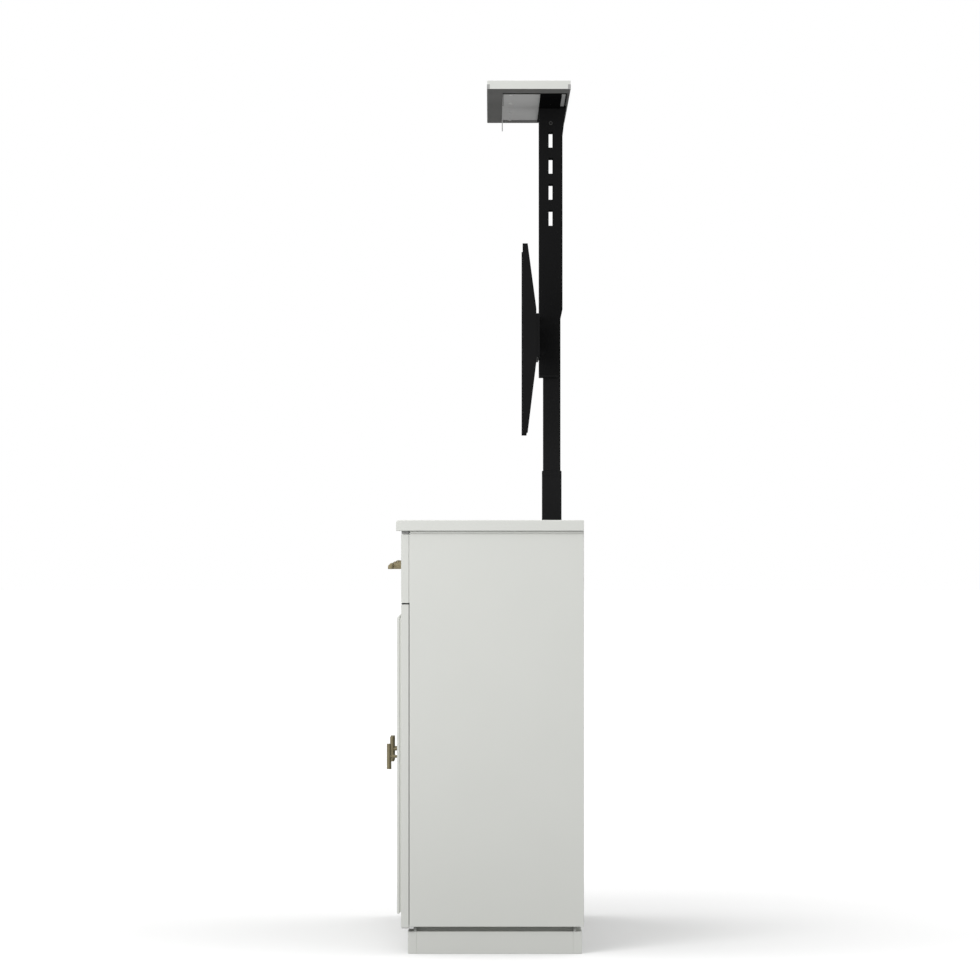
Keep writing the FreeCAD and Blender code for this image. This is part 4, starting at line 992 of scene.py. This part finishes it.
@dataclass
class LiftFoot:
    """Base plate, wall brackets, gear housing with motor, and control box."""

    bench: Bench
    hole_inset: float = 0.017
    bracket_sheet: float = 0.003
    bracket_bolt: Pair = (0.0055, 0.0045)
    motor_radius: float = 0.023
    motor_inset: float = 0.0018
    band_levels: Triple = (0.006, 0.046, 0.100)
    cover_inset: float = 0.004
    corner_inset: float = 0.009
    rib_levels: Levels = (0.020, 0.028, 0.036, 0.044, 0.052)
    socket_steps: Levels = (0.016, 0.040, 0.074, 0.098)

    def build(self) -> None:
        """Builds the parts that stand or hang in the well."""
        self.bench.soften(POWDER, "lift_base", "mast_brackets")
        self.bench.soften(SATIN_BLACK, "motor_gearbox", width=0.0008)
        self.bench.soften(NYLON, "control_box")
        self.fixings()
        self.motor()
        self.controls()

    def fixings(self) -> None:
        """Screws in the base plate's two holes and bolts in the bracket wings."""
        low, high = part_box("lift_base")
        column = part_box("outer_column")
        middle, reach = (column[0].y + column[1].y) / 2, high.x - self.hole_inset
        places = [at(side * reach, middle, high.z - 0.0005) for side in (-1, 1)]
        self.bench.screws("base_screws", places, Screw.BASE)
        low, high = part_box("mast_brackets")
        wing, face = high.x - self.hole_inset, high.y - self.bracket_sheet
        rows = [low.z + 0.015, low.z + 0.045, high.z - 0.045, high.z - 0.015]
        places = [at(side * wing, face, z, Axis.FRONT) for side in (-1, 1) for z in rows]
        self.bench.piece("bracket_bolts", gathered([hex_bolt(*self.bracket_bolt)], places), ZINC)

    def motor(self) -> None:
        """The motor's end cap and bands, and the screws of the gear housing's cover."""
        low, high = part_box("motor_gearbox")
        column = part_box("outer_column")
        deck = column[0].z
        radius = self.motor_radius
        x, y = high.x - radius - self.motor_inset, (low.y + high.y) / 2
        cap = turned([(0.0, 0.004), (0.007, 0.004), (0.009, 0.0025), (radius - 0.006, 0.002),
                      (radius - 0.002, 0.0), (radius + 0.0009, -0.002), (radius + 0.0009, -0.018),
                      (radius - 0.0004, -0.018), (radius - 0.0004, -0.001), (0.0, -0.001)], steps=48)
        bmesh.ops.translate(cap, vec=(x, y, high.z), verts=cap.verts)
        self.bench.piece("motor_cap", cap, NYLON)
        rings = [at(x, y, deck + level) for level in self.band_levels]
        band = turned([(radius - 0.0003, 0.0), (radius + 0.0006, 0.0), (radius + 0.0008, 0.0008),
                       (radius + 0.0008, 0.0032), (radius + 0.0006, 0.004), (radius - 0.0003, 0.004)],
                      steps=48)
        self.bench.piece("motor_bands", gathered([band], rings), ZINC)
        near, far = column[1].x + 0.007, high.x - 0.0055
        places = [at(near, low.y + 0.006, deck), at(near, high.y - 0.006, deck),
                  at(far, low.y + 0.0055, deck), at(far, high.y - 0.0055, deck)]
        self.bench.screws("gearbox_screws", places, Screw.GEARBOX)

    def controls(self) -> None:
        """The control box's cover, its ribs, its sockets and its screws."""
        low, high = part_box("control_box")
        rim, corner = self.cover_inset, self.corner_inset
        cover = block((low.x + rim, low.y - 0.0012, low.z + rim), (high.x - rim, low.y + 0.001, high.z - rim),
                      width=0.0011, segments=3)
        self.bench.piece("control_cover", cover, NYLON)
        ribs = [block((low.x + 0.014, low.y - 0.0018, z - 0.0012),
                      (low.x + 0.060, low.y - 0.0008, z + 0.0012), width=0.0006)
                for z in [low.z + rise for rise in self.rib_levels]]
        self.bench.piece("control_ribs", gathered(ribs), RUBBER)
        sockets = [block((x, high.y - 0.022, low.z - 0.003),
                         (x + 0.016, high.y - 0.010, low.z + 0.001), width=0.0008)
                   for x in [low.x + step for step in self.socket_steps]]
        self.bench.piece("control_sockets", gathered(sockets), RUBBER)
        places = [at(x, low.y - 0.0010, z, Axis.FRONT) for x in ends(low.x, high.x, corner)
                  for z in ends(low.z, high.z, corner)]
        self.bench.screws("control_screws", places, Screw.CONTROL)


@dataclass
class Carriage:
    """The post, its runner, the cross plate, the screen arms and their bolts."""

    bench: Bench
    bolt_radius: float = 0.005
    bolt_flat: float = 0.866
    cross_sheet: float = 0.003
    post_step: float = 0.006
    post_flange: float = 0.0025
    post_web: float = 0.0015
    trim_height: float = 0.006
    head_drop: float = 0.037
    cap_reach: float = 0.0015
    cap_inset: float = 0.0016
    plate_screw_inset: float = 0.022

    def build(self) -> None:
        """Builds everything that carries the screen."""
        self.bench.soften(POWDER, "carriage_post", "cross_plate", "screen_arm_left", "screen_arm_right")
        self.bench.soften(NYLON, "carriage_runner", width=0.0006)
        self.arm_bolts()
        self.post_screws()
        self.end_caps()

    def arm_bolts(self) -> None:
        """Bolts on washers that hold the arms to the cross plate."""
        low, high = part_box("arm_bolts")
        reach = (high.x - low.x) / 2 - self.bolt_radius
        rise = self.bolt_radius * self.bolt_flat
        places = [at(side * reach, high.y, z, Axis.FRONT) for side in (-1, 1)
                  for z in ends(low.z, high.z, rise)]
        work = gathered([hex_bolt(self.bolt_radius, high.y - low.y)], places)
        item = self.bench.piece("arm_bolts_finished", work, ZINC, "carriage")
        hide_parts("arm_bolts")

    def post_screws(self) -> None:
        """Capped screws high on both sides of the post, and those that join it to the cross plate."""
        low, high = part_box("carriage_post")
        middle = (low.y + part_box("outer_column")[1].y) / 2
        level = high.z - self.head_drop
        places = [at(high.x, middle, level, Axis.RIGHT), at(low.x, middle, level, Axis.LEFT)]
        self.bench.screws("post_head_caps", places, Screw.POST, CAP, "carriage")
        low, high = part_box("cross_plate")
        inset = self.plate_screw_inset
        places = [at(x, low.y, z, Axis.FRONT) for x in (-inset, inset) for z in ends(low.z, high.z, inset)]
        self.bench.screws("cross_plate_screws", places, Screw.PLATE, body="carriage")

    def end_caps(self) -> None:
        """Moulded caps in the ends of the cross plate, and an edge trim round the foot of the post."""
        low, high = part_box("cross_plate")
        sheet = self.cross_sheet
        caps = [block((x - self.cap_reach, low.y + sheet, low.z + sheet),
                      (x + self.cap_reach, high.y, high.z - sheet))
                for x in ends(low.x, high.x, self.cap_inset)]
        self.bench.piece("cross_plate_caps", gathered(caps), POWDER, "carriage")
        low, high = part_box("carriage_post")
        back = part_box("outer_column")[1].y - self.post_step
        foot, flange = low.z - self.trim_height, self.post_flange
        trims = [block((x - flange / 2, low.y, foot), (x + flange / 2, back, low.z))
                 for x in ends(low.x, high.x, flange / 2)]
        trims.append(block((low.x + flange, low.y, foot), (high.x - flange, low.y + self.post_web, low.z)))
        self.bench.piece("post_foot_trim", gathered(trims), NYLON, "carriage")


@dataclass
class Lid:
    """The piece of counter that closes the well, its steel plate and screws."""

    bench: Bench
    sheet: float = 0.0022
    tab_step: float = 0.006
    rail_reach: float = 0.010
    lip_height: float = 0.0096
    lip_rise: float = 0.0004
    lip_width: float = 0.0060
    lip_proud: float = 0.0006
    end_proud: float = 0.0003

    def build(self) -> None:
        """Builds the lid, with painted shade on its underside, and the part-primed plate that it is screwed
        to.
        """
        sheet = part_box("lid")[0].z - self.sheet
        tab = sheet - self.tab_step
        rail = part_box("carriage_post")[0].y - self.rail_reach
        # Faces turned down get the dark painted shade.
        self.bench.soften(PAINT, "lid", other=UNDERSIDE_SHADE, where=lambda middle, normal: normal.z < TURNED_DOWN)
        self.bench.soften(MATT_BLACK, "lid_plate", width=0.0004, other=PRIMER, where=lambda middle, normal:
                          (normal.z < TURNED_DOWN and middle.z > sheet) or middle.z < tab)
        self.bench.soften(DULL_ZINC, "lid_screws", width=0.0003, other=MATT_BLACK,
                          where=lambda middle, normal: middle.y > rail)
        self.lips()

    def lips(self) -> None:
        """Soft seals let into the lower half of the lid's long edges, their grey a painted shade along the
        lid's lower corners.
        """
        low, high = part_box("lid")
        reach, foot, inner = high.x + self.end_proud, low.z + self.lip_rise, self.lip_width - self.lip_proud
        strips = [block((-reach, start, foot), (reach, start + self.lip_width, foot + self.lip_height),
                        width=0.0004) for start in (low.y - self.lip_proud, high.y - inner)]
        # The seals' grey is painted shade at the lid's lower corners.
        self.bench.piece("lid_edge_shade_seals", gathered(strips), SHADE_SEAL, "carriage")


# ---------------- the room


@dataclass
class Studio:
    """A pale floor, soft lamps and a far camera."""

    camera_place: Triple = (12.5, 0.0, 0.916)
    pitch: float = 0.3
    lens: float = 207.5
    sensor: float = 36.0
    sight: float = 200.0
    room_light: float = 0.60
    floor_reach: float = 60.0
    floor_grey: float = 0.93
    floor_bounce: float = 0.30
    painted_light_range: Pair = (0.45, 2.4)
    painted_light: float = 0.22
    side_power: float = 25.5
    side_size: float = 1.4
    side_place: Triple = (2.6, -0.9, 1.7)
    side_aim: Triple = (0.6, 0.0, 1.1)
    lamps: tuple[tuple[str, float, float, Triple], ...] = (
        ("key_lamp", 0.435, 40.0, (48.0, 0.0, 70.0)),
        ("front_lamp", 0.6, 60.0, (35.0, 0.0, -35.0)),
        ("rear_lamp", 0.55, 60.0, (40.0, 0.0, 225.0)),
    )

    def build(self) -> None:
        """Sets up the room."""
        self.floor()
        self.world()
        for name, strength, softness, turn in self.lamps:
            self.sun(name, strength, softness, turn)
        self.side_lamp()
        self.camera()
        bpy.context.scene.view_settings.view_transform = "Standard"

    def floor(self) -> None:
        """A wide floor that keeps the shadow and gives little light back, with painted light: it glows more
        the farther it lies from the cabinet.
        """
        work = bmesh.new()
        bmesh.ops.create_grid(work, x_segments=2, y_segments=2, size=self.floor_reach)
        mesh = bpy.data.meshes.new("studio_floor")
        work.to_mesh(mesh)
        work.free()
        made = bpy.data.materials.new("floor_paper")
        sketch = NodeSketch.fresh(made)
        pale = sketch.add("ShaderNodeBsdfDiffuse", {"Color": grey(self.floor_grey)})
        reach = sketch.add("ShaderNodeVectorMath", {0: sketch.place()}, {"operation": "LENGTH"})
        # Painted light: the floor glows more with distance from the cabinet, so it stays white far off.
        far = sketch.ramp(reach.outputs["Value"], self.painted_light_range, (0.0, self.painted_light))
        painted_light = sketch.add("ShaderNodeEmission", {"Color": grey(1.0), "Strength": far})
        both = sketch.add("ShaderNodeAddShader", {0: pale.outputs[0], 1: painted_light.outputs[0]})
        dull = sketch.add("ShaderNodeBsdfDiffuse", {"Color": grey(self.floor_bounce)})
        mix = sketch.add("ShaderNodeMixShader", {0: sketch.seen(), 1: dull.outputs[0], 2: both.outputs[0]})
        sketch.add("ShaderNodeOutputMaterial", {"Surface": mix.outputs[0]})
        mesh.materials.append(made)
        linked("studio_floor", mesh)

    def world(self) -> None:
        """An even room light with a white background."""
        room = bpy.data.worlds.new("studio_room")
        sketch = NodeSketch.fresh(room)
        white = sketch.add("ShaderNodeBackground", {"Color": grey(1.0), "Strength": 1.0})
        soft = sketch.add("ShaderNodeBackground", {"Color": grey(1.0), "Strength": self.room_light})
        mix = sketch.add("ShaderNodeMixShader", {0: sketch.seen(), 1: soft.outputs[0], 2: white.outputs[0]})
        sketch.add("ShaderNodeOutputWorld", {"Surface": mix.outputs[0]})
        bpy.context.scene.world = room

    @staticmethod
    def sun(name: str, strength: float, softness: float, turn: Triple) -> None:
        """Adds one far, wide lamp.

        Args:
            name: The lamp's name.
            strength: Its strength.
            softness: Its width in degrees.
            turn: Its turn about X, Y and Z in degrees.
        """
        data = bpy.data.lights.new(name, "SUN")
        data.energy = strength
        data.angle = math.radians(softness)
        linked(name, data).rotation_euler = [math.radians(angle) for angle in turn]

    def side_lamp(self) -> None:
        """Adds a large soft disk lamp above and beside the end panel, which fades towards the floor."""
        data = bpy.data.lights.new("side_panel_lamp", "AREA")
        data.shape = "DISK"
        data.size = self.side_size
        data.energy = self.side_power
        item = linked("side_panel_lamp", data)
        item.location = self.side_place
        item.rotation_euler = (Vector(self.side_aim) - item.location).to_track_quat("-Z", "Y").to_euler()

    def camera(self) -> None:
        """Adds the camera, far off at the height of the counter."""
        data = bpy.data.cameras.new("far_camera")
        data.lens = self.lens
        data.sensor_width = self.sensor
        data.clip_end = self.sight
        item = linked("far_camera", data)
        item.location = self.camera_place
        item.rotation_euler = (math.radians(90.0 + self.pitch), 0.0, math.radians(90.0))
        bpy.context.scene.camera = item


def main() -> None:
    """Builds the cabinet, the lift and the room in order."""
    logging.basicConfig(level=logging.INFO, format="%(name)s: %(message)s")
    bench = Bench()
    parts = (Carcass(bench), Fronts(bench), Handles(bench), Drawers(bench), PivotLeaves(bench), Mast(bench),
             LiftFoot(bench), Carriage(bench), Lid(bench), Studio())
    for part in parts:
        part.build()
        LOG.info("built %s", type(part).__name__)
        for name in bench.made:
            LOG.info("    %s", name)
        bench.made.clear()


if __name__ == "__main__":
    main()
